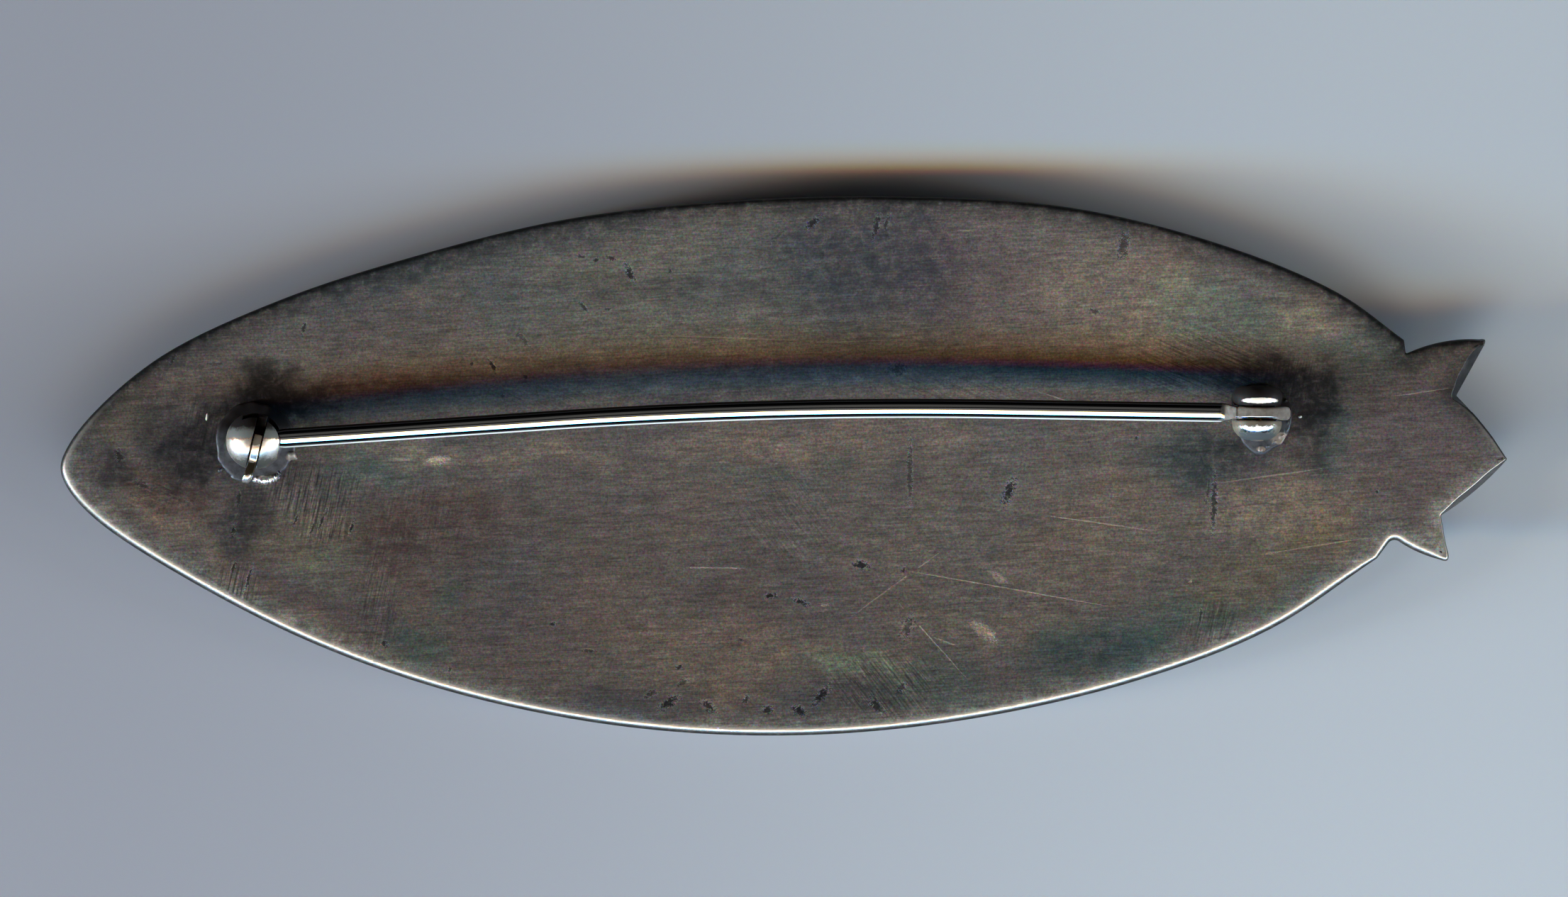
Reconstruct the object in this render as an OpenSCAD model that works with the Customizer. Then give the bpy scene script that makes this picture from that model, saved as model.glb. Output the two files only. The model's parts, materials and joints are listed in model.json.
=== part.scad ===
// Fish brooch, lying on its domed front with its dished back up.
// The nose points along -X, the three-pointed tail along +X, and +Z is up.
// The origin is under the middle of the outline, at the height of the lowest point of the front.
// All sizes are in millimetres and all angles in degrees.

/* [Plate] */
// Thickness of the sheet
plate_t = 1.3; // [1:0.1:1.6]
// Radius of the front along the fish
bend_long = 520; // [420:10:700]
// Radius of the front across the fish
bend_cross = 130; // [100:5:180]
// Place of the lowest point of the front along the fish
low_x = 0.4; // [-3:0.1:3]
// Place of the lowest point of the front across the fish
low_y = 0.4; // [-2:0.1:2]

/* [Stem] */
// Diameter of the pin wire
wire_d = 1.14; // [0.9:0.01:1.2]
// Straight wire from the rivet to the bend
stem_back = 15.5; // [10:0.5:20]
// Radius of the sideways bend in the wire
bend_r = 320; // [300:5:340]
// Angle through which the wire bends
bend_angle = 4.75; // [4.5:0.05:5]
// Straight wire from the bend to the taper
stem_front = 15.8; // [15:0.1:16]
// Length of the tapered point
taper_l = 2.3; // [2:0.1:2.5]
// Diameter of the blunt end of the point
tip_d = 0.24; // [0.16:0.02:0.3]
// Thickness of the flattened tongue, across the fish
tongue_t = 0.8; // [0.6:0.05:0.85]
// Height of the flattened tongue
tongue_h = 1.4; // [1.1:0.05:1.45]
// Length of the tongue behind the rivet
tongue_tail = 2; // [1.6:0.05:2]

/* [Hinge] */
// Place of the rivet along the fish
hinge_x = 28.1; // [26:0.1:29]
// Place of the rivet across the fish
hinge_y = 3.15; // [2:0.05:4]
// Height of the rivet above the back of the plate
hinge_h = 2.35; // [2.3:0.05:2.6]
// Turn of the hinge in the plane of the plate
hinge_turn = -0.9; // [-1.2:0.1:-0.6]
// Radius of each domed cheek
cheek_r = 1.48; // [1.4:0.01:1.55]
// Thickness of each cheek, from the tongue outwards
cheek_t = 1.15; // [1:0.05:1.2]
// Rounding of a cheek's outer edge
cheek_round = 0.9; // [0.6:0.05:0.95]
// Diameter of the rivet
rivet_d = 0.6; // [0.5:0.05:0.65]

/* [Catch] */
// Place of the ball along the fish
catch_x = -31.5; // [-31.7:0.1:-31.3]
// Place of the ball across the fish
catch_y = 1.5; // [1.4:0.05:1.6]
// Height of the ball's middle above the back of the plate
catch_h = 1.9; // [1.85:0.05:2.1]
// Turn of the catch in the plane of the plate
catch_turn = -13.4; // [-14:0.2:-10]
// Radius of the ball
ball_r = 1.7; // [1.65:0.01:1.75]
// Thickness of the lever's leaf
leaf_t = 0.46; // [0.4:0.02:0.5]
// Radius of the lever's leaf
leaf_r = 1.62; // [1.5:0.01:1.63]
// Half the width of the mouth that the wire goes through
mouth_r = 0.73; // [0.7:0.01:0.76]
// Direction of the ball's mouth, from straight up towards +Y
mouth_angle = 80; // [75:1:85]
// Direction of the leaf's mouth when the catch is shut
leaf_mouth_angle = 30; // [25:1:35]
// Direction of the thumb tab when the catch is shut, from straight up towards -Y
tab_angle = 65; // [60:1:68]
// Distance from the ball's middle to the end of the thumb tab
tab_reach = 2.65; // [2.3:0.05:2.8]

/* [Hidden] */

// Rim of the body from the upper tail notch, round the nose, to the lower tail notch.
// Columns: x, y
RIM = [
  [36.9, 7.5],
  [33, 10.3],
  [26, 13.2],
  [17, 15.4],
  [7, 16.05],
  [-3, 15.8],
  [-13, 14.7],
  [-22, 12.5],
  [-30, 9.9],
  [-37, 6.6],
  [-41, 3.3],
  [-42.7, 1.1],
  [-43.1, -0.1],
  [-42.7, -1.3],
  [-41, -3.2],
  [-36, -6.5],
  [-28, -10.6],
  [-19, -13.7],
  [-9, -15.6],
  [1, -16.05],
  [11, -15.1],
  [21, -12.8],
  [29, -9.7],
  [35.3, -5.5],
];

// Corners of the tail from the lower notch to the upper notch.
// Columns: x, y, rounding of the corner, bulge of the edge that follows it
TAIL = [
  [36.2, -4.3, 0.5, 0.12],
  [39.65, -5.85, 0.35, -0.06],
  [39.15, -2.95, 0.1, 0.18],
  [43.1, 0.4, 0.15, 0.12],
  [40.05, 4.2, 0.08, 0],
  [41.95, 7.65, 0.25, 0.27],
  [37, 6.7, 0.1, 0],
];

// Points worked out between two neighbours of the rim
rim_steps = 4;
// Points worked out round a corner of the tail, and along an edge of it
corner_steps = 4;
edge_steps = 4;

// Gap beside the tongue and beside the leaf, and running clearances
tongue_gap = 0.06;
leaf_gap = 0.1;
running = 0.05;
rivet_gap = 0.01;

// The lever's hub turns in a round hollow inside the ball
hub_r = 1.05;
hub_half = 0.65;
// Foot of each fitting: a low solder cone, and a neck that carries the ball or the cheeks
foot_low_r = 2.4;
foot_high_r = 2.05;
foot_t = 0.2;
neck_r = 1.25;
// How deep a foot is sunk into the plate
sink = 0.4;
// The slot in the ball is cut straight down to here, measured from the ball's middle
slot_low = -1.15;
// Thumb tab
tab_w = 1;
// Taper from the round wire to the flat tongue
tongue_start = -2.1;
wedge_end = -1.3;
wedge_r = 0.3;
tongue_round = 0.25;
tongue_cut = hinge_h - foot_t;

slot_w = leaf_t + 2 * leaf_gap;
cheek_gap = tongue_t + 2 * tongue_gap;
wire_r = wire_d / 2;
straight_r = wire_r - 0.005;
overlap = 0.3;
ring_r = bend_long - bend_cross;

// Height of the plate's back at a place on it
function back_z(x, y) =
  let (across = sqrt(pow(bend_cross - plate_t, 2) - pow(y - low_y, 2)))
  bend_long - sqrt(pow(ring_r + across, 2) - pow(x - low_x, 2));

hinge_z = back_z(hinge_x, hinge_y) + hinge_h;
catch_z = back_z(catch_x, catch_y) + catch_h;
// The wire runs straight from the rivet to the ball when it is seen from the side
stem_pitch = -atan((hinge_z - catch_z) / (hinge_x - catch_x));

function unit(v) = v / norm(v);

// Slope of a smooth line at a point, from its two neighbours
function slope(before, here, after) =
  let (d1 = sqrt(norm(here - before)), d2 = sqrt(norm(after - here)))
  (here - before) / d1 - (after - before) / (d1 + d2) + (after - here) / d2;

// Point between two points whose slopes are known
function between(a, b, slope_a, slope_b, t) =
  (2 * pow(t, 3) - 3 * t * t + 1) * a
  + (pow(t, 3) - 2 * t * t + t) * slope_a
  + (3 * t * t - 2 * pow(t, 3)) * b
  + (pow(t, 3) - t * t) * slope_b;

// Smooth line through a list of points
function smooth(points, steps) =
  let (last = len(points) - 1)
  [
    for (i = [0:last - 1])
      let (
        a = points[i],
        b = points[i + 1],
        before = i > 0 ? points[i - 1] : 2 * a - b,
        after = i + 1 < last ? points[i + 2] : 2 * b - a,
        reach = sqrt(norm(b - a))
      )
      for (k = [0:steps - 1])
        between(a, b, reach * slope(before, a, b), reach * slope(a, b, after), k / steps),
    points[last],
  ];

function place(row) = [row[0], row[1]];

// Rounded corner between two edges
function corner(before, here, after, r) =
  let (
    a = unit(before - here),
    b = unit(after - here),
    reach = r / tan(acos(a * b) / 2)
  )
  [
    for (k = [0:corner_steps])
      let (t = k / corner_steps)
      here + pow(1 - t, 2) * reach * a + t * t * reach * b,
  ];

// Bulged edge between two corners, without its ends
function edge(a, b, bulge) =
  let (side = unit([b[1] - a[1], a[0] - b[0]]))
  [
    for (k = [1:edge_steps - 1])
      let (t = k / edge_steps)
      (1 - t) * a + t * b + 4 * t * (1 - t) * bulge * side,
  ];

function tail_corner(i) =
  corner(
    i > 0 ? place(TAIL[i - 1]) : RIM[len(RIM) - 1],
    place(TAIL[i]),
    i < len(TAIL) - 1 ? place(TAIL[i + 1]) : RIM[0],
    TAIL[i][2]
  );

function tail_line() = [
  for (i = [0:len(TAIL) - 1])
    let (here = tail_corner(i))
    each concat(
      here,
      i < len(TAIL) - 1 ? edge(here[corner_steps], tail_corner(i + 1)[0], TAIL[i][3]) : []
    ),
];

module outline() {
  polygon(concat(smooth(RIM, rim_steps), tail_line()));
}

// Sheet of even thickness, bent gently both ways
module bent_sheet() {
  half_angle = 6;
  half_width = 20;
  translate([low_x, low_y, bend_long])
    rotate([90, 0, 0])
      rotate([0, 0, -90 - half_angle])
        rotate_extrude(angle = 2 * half_angle, $fn = 900)
          intersection() {
            translate([ring_r, 0])
              difference() {
                circle(r = bend_cross, $fn = 360);
                circle(r = bend_cross - plate_t, $fn = 360);
              }
            translate([ring_r + bend_cross / 2, -half_width])
              square([bend_cross, 2 * half_width]);
          }
}

module plate() {
  intersection() {
    bent_sheet();
    translate([0, 0, -1])
      linear_extrude(height = 10)
        outline();
  }
}

module at_catch() {
  translate([catch_x, catch_y, catch_z])
    rotate([0, 0, catch_turn])
      children();
}

module at_hinge() {
  translate([hinge_x, hinge_y, hinge_z])
    rotate([0, 0, hinge_turn])
      children();
}

// Turns a drawing so that it stands across the fish, with its depth along the catch's axis
module upright(depth) {
  translate([-depth / 2, 0, 0])
    rotate([90, 0, 90])
      linear_extrude(height = depth)
        children();
}

// Round wire hole that opens to the side
module mouth(angle) {
  circle(r = mouth_r, $fn = 48);
  rotate(-angle)
    translate([-mouth_r, 0])
      square([2 * mouth_r, 3]);
}

module foot(height) {
  translate([0, 0, -height - sink])
    cylinder(r1 = foot_low_r, r2 = foot_low_r, h = sink, $fn = 64);
  translate([0, 0, -height])
    cylinder(r1 = foot_low_r, r2 = foot_high_r, h = foot_t, $fn = 64);
  translate([0, 0, -height])
    cylinder(r = neck_r, h = height, $fn = 64);
}

module catch_ball() {
  difference() {
    union() {
      sphere(r = ball_r, $fn = 72);
      foot(catch_h);
    }
    // slot for the leaf
    translate([-slot_w / 2, -2 * ball_r, slot_low])
      cube([slot_w, 4 * ball_r, 3 * ball_r]);
    rotate([0, 90, 0])
      cylinder(r = leaf_r + running, h = slot_w, center = true, $fn = 72);
    // hollow for the hub
    rotate([0, 90, 0])
      cylinder(r = hub_r + running, h = 2 * (hub_half + running), center = true, $fn = 64);
    upright(4 * ball_r)
      mouth(mouth_angle);
  }
}

module cheek_profile() {
  intersection() {
    square([cheek_r, cheek_t]);
    union() {
      translate([cheek_r - cheek_round, cheek_t - cheek_round])
        circle(r = cheek_round, $fn = 64);
      square([cheek_r - cheek_round, cheek_t]);
      square([cheek_r, cheek_t - cheek_round]);
    }
  }
}

module hinge_cheeks() {
  difference() {
    union() {
      for (side = [-1, 1])
        rotate([-90 * side, 0, 0])
          translate([0, 0, cheek_gap / 2])
            rotate_extrude($fn = 72)
              cheek_profile();
      foot(hinge_h);
    }
    // gap for the tongue
    translate([-foot_low_r, -cheek_gap / 2, -tongue_cut])
      cube([2 * foot_low_r, cheek_gap, 2 * tongue_cut]);
    rotate([90, 0, 0])
      cylinder(r = rivet_d / 2 + rivet_gap, h = 4 * cheek_r, center = true, $fn = 48);
  }
}

// The sheet with both fittings soldered to it is one piece of metal
module fish_body() {
  color("dimgray") {
    plate();
    at_catch()
      catch_ball();
    at_hinge()
      hinge_cheeks();
  }
}

// Leaf with its thumb tab, and the hub that holds it in the ball
module catch_lever() {
  color("silver")
    at_catch()
      difference() {
        union() {
          upright(leaf_t) {
            circle(r = leaf_r, $fn = 72);
            rotate(tab_angle) {
              translate([-tab_w / 2, 0])
                square([tab_w, tab_reach - tab_w / 2]);
              translate([0, tab_reach - tab_w / 2])
                circle(r = tab_w / 2, $fn = 48);
            }
          }
          rotate([0, 90, 0])
            cylinder(r = hub_r, h = 2 * hub_half, center = true, $fn = 64);
        }
        upright(4 * ball_r)
          mouth(leaf_mouth_angle);
      }
}

module hinge_rivet() {
  rivet_l = cheek_gap + 2 * cheek_t;
  color("silver")
    at_hinge()
      rotate([90, 0, 0])
        cylinder(r = rivet_d / 2, h = rivet_l, center = true, $fn = 48);
}

// Flattened end of the wire, with the rivet's hole
module tongue() {
  difference() {
    rotate([90, 0, 0])
      linear_extrude(height = tongue_t, center = true)
        difference() {
          union() {
            translate([tongue_start, -tongue_h / 2])
              square([tongue_tail - tongue_round - tongue_start, tongue_h]);
            translate([tongue_tail - 2 * tongue_round, tongue_round - tongue_h / 2])
              square([2 * tongue_round, tongue_h - 2 * tongue_round]);
            for (side = [-1, 1])
              translate([tongue_tail - tongue_round, side * (tongue_h / 2 - tongue_round)])
                circle(r = tongue_round, $fn = 32);
          }
          circle(r = rivet_d / 2 + running, $fn = 48);
        }
  }
  translate([wedge_end, 0, 0])
    rotate([0, -90, 0])
      cylinder(r1 = wedge_r, r2 = straight_r, h = wedge_end - tongue_start, $fn = 64);
}

// Wire that runs from the tongue to the taper: straight, a gentle bend, and straight again.
// The straight lengths are a hair thinner than the bend and enter its ends.
module wire() {
  translate([tongue_start, 0, 0])
    rotate([0, -90, 0])
      cylinder(r = straight_r, h = stem_back + tongue_start + overlap, $fn = 64);
  translate([-stem_back, -bend_r, 0]) {
    rotate([0, 0, 90])
      rotate_extrude(angle = bend_angle, $fn = 720)
        translate([bend_r, 0])
          circle(r = wire_r, $fn = 64);
    rotate([0, 0, bend_angle])
      translate([overlap, bend_r, 0])
        rotate([0, -90, 0]) {
          cylinder(r = straight_r, h = stem_front + overlap, $fn = 64);
          translate([0, 0, stem_front + overlap])
            cylinder(r1 = straight_r, r2 = tip_d / 2, h = taper_l, $fn = 64);
          translate([0, 0, stem_front + overlap + taper_l])
            sphere(r = tip_d / 2, $fn = 32);
        }
  }
}

module pin_stem() {
  color("gainsboro")
    at_hinge()
      rotate([0, stem_pitch, 0]) {
        tongue();
        wire();
      }
}

fish_body();
catch_lever();
hinge_rivet();
pin_stem();
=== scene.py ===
"""Looks of a dished silver fish brooch that lies on its domed front, seen from the back."""

import json
import math

import bmesh
import bpy
from mathutils import Matrix, Vector, kdtree, noise


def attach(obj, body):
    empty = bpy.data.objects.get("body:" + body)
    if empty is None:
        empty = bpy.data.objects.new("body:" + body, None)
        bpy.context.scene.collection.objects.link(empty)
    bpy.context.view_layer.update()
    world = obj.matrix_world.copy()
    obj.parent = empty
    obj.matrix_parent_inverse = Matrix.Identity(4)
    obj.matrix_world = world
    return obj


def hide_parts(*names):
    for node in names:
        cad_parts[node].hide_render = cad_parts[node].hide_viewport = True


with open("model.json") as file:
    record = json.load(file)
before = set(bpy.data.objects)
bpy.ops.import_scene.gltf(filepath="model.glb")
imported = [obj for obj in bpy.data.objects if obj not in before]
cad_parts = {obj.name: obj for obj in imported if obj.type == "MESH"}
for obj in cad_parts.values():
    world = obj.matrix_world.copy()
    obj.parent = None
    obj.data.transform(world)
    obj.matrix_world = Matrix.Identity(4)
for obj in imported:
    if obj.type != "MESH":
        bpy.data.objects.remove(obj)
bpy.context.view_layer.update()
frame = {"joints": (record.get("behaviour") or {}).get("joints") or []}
joints = {joint["name"]: joint for joint in frame["joints"]}

# The vector noise differs from run to run unless it has a seed. This one shifts the patches of
# tarnish and painted shade least, on average, among the seeds from 1 to 80.
noise.seed_set(32)

# Sizes are in millimetres and turns in degrees. finish_piece makes a piece's sizes metres.
MM = 0.001

# Sheet: its thickness, the radii of its domed front, and the lowest point of the front
SHEET = 1.3
BEND_LONG = 520.0
BEND_CROSS = 130.0
LOW_X = 0.4
LOW_Y = 0.4

# The front is part of a ring-shaped surface, and this is the radius of the ring
RING = BEND_LONG - BEND_CROSS

# Rounding of the body's edge on the back, along the lower and the upper side, and on the front
LOW_ROUND = 0.5
HIGH_ROUND = 0.32
FRONT_ROUND = 0.3

# Rounding at the two notches beside the tail
TAIL_ROUND = 0.3

# Width of the flat row inside the rounding
INNER_ROW = 0.15

# Rim of the body from the upper tail notch, round the nose, to the lower tail notch.
# Columns: x, y
RIM = [
    (36.9, 7.5), (33, 10.3), (26, 13.2), (17, 15.4), (7, 16.05), (-3, 15.8), (-13, 14.7), (-22, 12.5),
    (-30, 9.9), (-37, 6.6), (-41, 3.3), (-42.7, 1.1), (-43.1, -0.1), (-42.7, -1.3), (-41, -3.2),
    (-36, -6.5), (-28, -10.6), (-19, -13.7), (-9, -15.6), (1, -16.05), (11, -15.1), (21, -12.8),
    (29, -9.7), (35.3, -5.5),
]

# Corners of the tail from the lower notch to the upper notch.
# Columns: x, y, rounding of the corner in plan, bulge of the edge that follows it,
# rounding of the rim at the corner and along that edge,
# slope of the wall at the corner and along that edge
TAIL = [
    (36.2, -4.3, 0.5, 0.12, 0.4, 0.42, 0, 0),
    (39.65, -5.85, 0.35, -0.06, 0.26, 0.15, 0, 0),
    (39.15, -2.95, 0.1, 0.18, 0.1, 0.1, 0.08, 0.3),
    (43.1, 0.4, 0.15, 0.12, 0.08, 0.3, 0.08, 0),
    (40.05, 4.2, 0.08, 0, 0.1, 0.08, 0.3, 0.48),
    (41.95, 7.65, 0.25, 0.27, 0.12, 0.4, 0.1, 0),
    (37, 6.7, 0.1, 0, 0.14, 0.3, 0, 0),
]

# Tints of tarnish and wear, and of painted shade and shadow, as shares of the sheet's own red, green and
# blue
TINTS = {
    "teal": (0.66, 0.94, 0.94),
    "mint": (1.05, 1.3, 1.18),
    "olive": (1.25, 1.2, 0.86),
    "tan": (1.5, 1.38, 1.2),
    "brown": (0.76, 0.6, 0.56),
    "purple": (0.86, 0.76, 0.88),
    "slate": (0.5, 0.56, 0.68),
    "dusk": (0.26, 0.27, 0.32),
    "black": (0.12, 0.13, 0.16),
    "pale": (2.3, 2.15, 1.85),
}

# Darkening that follows the upper rim, and how far it reaches inwards
RIM_DARKENING = (0.03, 0.06, 0.09)
RIM_DARKENING_WIDE = 1.5

# Lightening inside the lower rim, and how far it reaches inwards
RIM_LIGHTENING = (2.0, 2.3, 2.3)
RIM_LIGHTENING_WIDE = 1.7

# How worn the rows of the lower rim's rounding are, from the back to the wall
RIM_WORN = (0.15, 0.7, 0.9, 0.06, 0.0, 0.0, 0.0)

# Share of that wear at the nose
NOSE_WORN = 0.55

# How light the tarnish is in the same rows, all round. Its dark outer rows paint a line of shade along
# the rim's edge
RIM_SHADE = (1.0, 1.0, 0.8, 0.25, 0.1, 0.1, 0.3)

# Patches of tarnish, and patches of painted shade and painted shadow round the catch, the hinge and the
# stem, as noted in the table.
# Columns: x, y, half length, half width, turn, tint, strength
STAINS = [
    # Painted shade to the left of the catch
    (-35.8, 0.7, 2.2, 2.2, 0, "dusk", 1.0),
    (-34.6, 1.2, 1.6, 2.8, 0, "dusk", 0.6),
    (-40.8, 0.2, 2.0, 2.4, 0, "slate", 0.5),
    (-32.9, -3.9, 1.8, 1.4, 0, "slate", 0.6),
    (-32.9, -3.9, 2.0, 1.6, 0, "dusk", 0.3),
    # Painted shadow of the stem on the sheet: slate and dusk next to the wire, brown at its outer edge
    (-20.0, 3.7, 8.0, 0.9, 3, "slate", 0.55),
    (-29.4, 3.7, 4.0, 1.0, 3, "dusk", 0.7),
    (-24.5, 4.9, 6.5, 0.8, 5, "brown", 1.0),
    (0.0, 4.5, 12.0, 0.9, 1, "slate", 0.6),
    # Painted shade above the catch, darkest in black
    (-31.0, 3.7, 3.8, 1.7, 0, "dusk", 1.0),
    (-30.6, 3.2, 3.0, 1.2, 0, "dusk", 0.8),
    (-31.2, 4.4, 2.6, 1.6, 0, "black", 0.8),
    (-36.5, 2.5, 2.4, 1.7, 0, "slate", 0.65),
    (-28.0, -1.2, 2.6, 1.6, 0, "slate", 0.35),
    (-9.0, -8.4, 5.0, 2.4, 0, "tan", 0.2),
    # Painted shade round the catch
    (-30.6, 1.0, 4.4, 3.4, 0, "dusk", 0.4),
    (-33.6, 0.4, 1.6, 2.2, 0, "slate", 0.7),
    (-39.6, -0.4, 1.6, 1.0, -20, "dusk", 0.7),
    (-36.6, -1.6, 3.4, 1.3, -15, "brown", 0.8),
    (-38.4, -2.5, 1.8, 0.8, -35, "tan", 0.7),
    (-38.8, 2.0, 2.0, 1.5, 30, "olive", 0.4),
    (-31.8, -2.4, 1.2, 2.0, 0, "dusk", 0.7),
    (-35.1, -4.2, 2.6, 1.3, -30, "tan", 0.75),
    (-28.5, -4.3, 3.6, 2.2, 0, "olive", 0.45),
    (-27.8, -6.2, 3.0, 1.0, 15, "mint", 0.5),
    (-29.0, -7.6, 4.4, 1.2, -25, "purple", 0.7),
    (-28.6, -8.9, 6.0, 0.9, -27, "tan", 0.5),
    (-24.6, -0.4, 3.4, 1.2, 0, "teal", 0.8),
    (-20.0, 0.7, 10.0, 0.8, 0, "tan", 0.8),
    (-20.6, -3.2, 5.6, 2.1, 0, "brown", 0.8),
    (-24.0, -4.2, 1.9, 2.2, 0, "brown", 0.5),
    (-23.6, -4.8, 2.4, 1.8, 0, "slate", 0.35),
    (-14.0, -5.0, 5.0, 3.0, 0, "slate", 0.22),
    (-12.0, -1.8, 5.0, 2.0, 0, "slate", 0.25),
    (-20.0, -7.6, 1.5, 1.3, 30, "teal", 0.8),
    (-22.0, -6.4, 3.0, 1.8, 0, "brown", 0.5),
    (-21.8, -10.4, 2.5, 1.7, -20, "teal", 0.9),
    (-24.2, -9.3, 2.8, 1.5, -20, "slate", 0.6),
    (-15.0, -9.6, 6.0, 3.0, 0, "purple", 0.3),
    (-9.2, -14.6, 6.0, 1.3, -4, "slate", 0.7),
    (-4.0, -11.4, 8.0, 3.0, 0, "tan", 0.55),
    (-1.0, -8.0, 8.0, 3.4, 0, "purple", 0.25),
    (-4.0, 0.9, 7.4, 0.6, 0, "pale", 0.2),
    (4.0, 1.4, 10.0, 1.2, 0, "tan", 0.5),
    (-0.6, -0.6, 5.6, 0.7, 0, "teal", 0.5),
    (12.0, -4.4, 12.0, 5.0, 0, "tan", 0.45),
    (7.4, -0.6, 1.0, 3.0, 0, "slate", 0.35),
    (12.0, -9.7, 6.4, 1.6, 0, "tan", 0.6),
    (4.2, -11.6, 4.4, 0.8, 0, "mint", 0.9),
    (4.9, -11.7, 3.8, 0.7, 0, "mint", 0.6),
    (3.4, -11.3, 4.6, 0.9, 0, "tan", 0.6),
    (8.4, -13.2, 4.2, 1.6, 5, "teal", 0.7),
    (3.4, -13.6, 4.2, 1.1, 0, "slate", 0.6),
    (18.6, -10.8, 4.6, 2.0, 12, "teal", 1.0),
    (18.4, -11.2, 3.6, 1.2, 12, "slate", 0.5),
    (22.9, -8.8, 3.2, 1.4, 20, "mint", 0.4),
    (27.4, -6.4, 5.0, 1.6, 22, "olive", 0.5),
    (24.5, -9.4, 4.4, 1.2, 22, "teal", 0.8),
    (30.0, -7.4, 3.0, 0.9, 27, "teal", 0.6),
    (29.2, -2.8, 5.0, 2.2, 5, "tan", 0.95),
    (33.6, -1.8, 2.4, 2.2, 0, "tan", 0.4),
    (20.6, -3.6, 5.0, 4.0, 0, "tan", 0.3),
    (24.8, 0.5, 4.2, 2.0, 0, "slate", 0.6),
    (24.4, 0.6, 3.8, 1.9, 0, "teal", 0.8),
    (24.8, 0.5, 3.4, 1.5, 0, "dusk", 0.4),
    (28.6, -2.4, 3.4, 1.8, 10, "tan", 0.3),
    # Painted shade and shadow round the hinge, in the dusk patches
    (27.6, 5.7, 5.0, 1.0, 0, "dusk", 0.7),
    (28.4, 0.9, 4.0, 1.6, 0, "dusk", 0.5),
    (29.6, 4.9, 4.0, 1.5, 0, "dusk", 0.6),
    (30.7, 3.8, 2.6, 2.6, 0, "dusk", 0.95),
    (31.9, 3.0, 1.6, 3.0, 0, "dusk", 0.9),
    (33.0, 2.2, 1.6, 3.0, 0, "teal", 0.9),
    (34.4, 6.6, 3.2, 1.8, 0, "teal", 0.7),
    (37.9, 1.6, 5.0, 5.0, 0, "purple", 0.5),
    (32.4, -4.3, 2.4, 1.2, 10, "olive", 0.5),
    (26.4, 9.3, 6.0, 2.1, -12, "mint", 0.9),
    (31.4, 8.6, 2.6, 1.4, -30, "tan", 0.7),
    (19.4, 10.0, 5.4, 3.6, -10, "tan", 0.8),
    (11.0, 11.0, 5.0, 4.0, 0, "purple", 0.5),
    (4.7, 12.3, 7.4, 4.4, 0, "slate", 0.75),
    (4.9, 12.8, 6.0, 3.2, 0, "slate", 0.5),
    (5.4, 8.4, 6.0, 2.4, 0, "slate", 0.25),
    (-8.0, 10.6, 8.6, 0.7, -3, "dusk", 0.4),
    (-9.0, 8.0, 10.0, 2.6, 0, "tan", 0.25),
    (-9.0, 12.2, 7.0, 1.4, 0, "tan", 0.35),
    (-22.0, 9.2, 7.0, 2.6, 22, "slate", 0.45),
    (-34.0, 5.2, 4.0, 2.4, 30, "slate", 0.3),
    (-34.0, 7.6, 5.4, 1.2, 32, "slate", 0.3),
    (-24.0, 11.3, 7.4, 1.3, 20, "slate", 0.6),
    (-24.0, 11.3, 7.4, 1.3, 20, "teal", 0.3),
    (-13.0, 13.9, 7.0, 1.2, 9, "slate", 0.5),
    (-9.0, 11.2, 16.0, 4.4, 0, "teal", 0.45),
]

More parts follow.
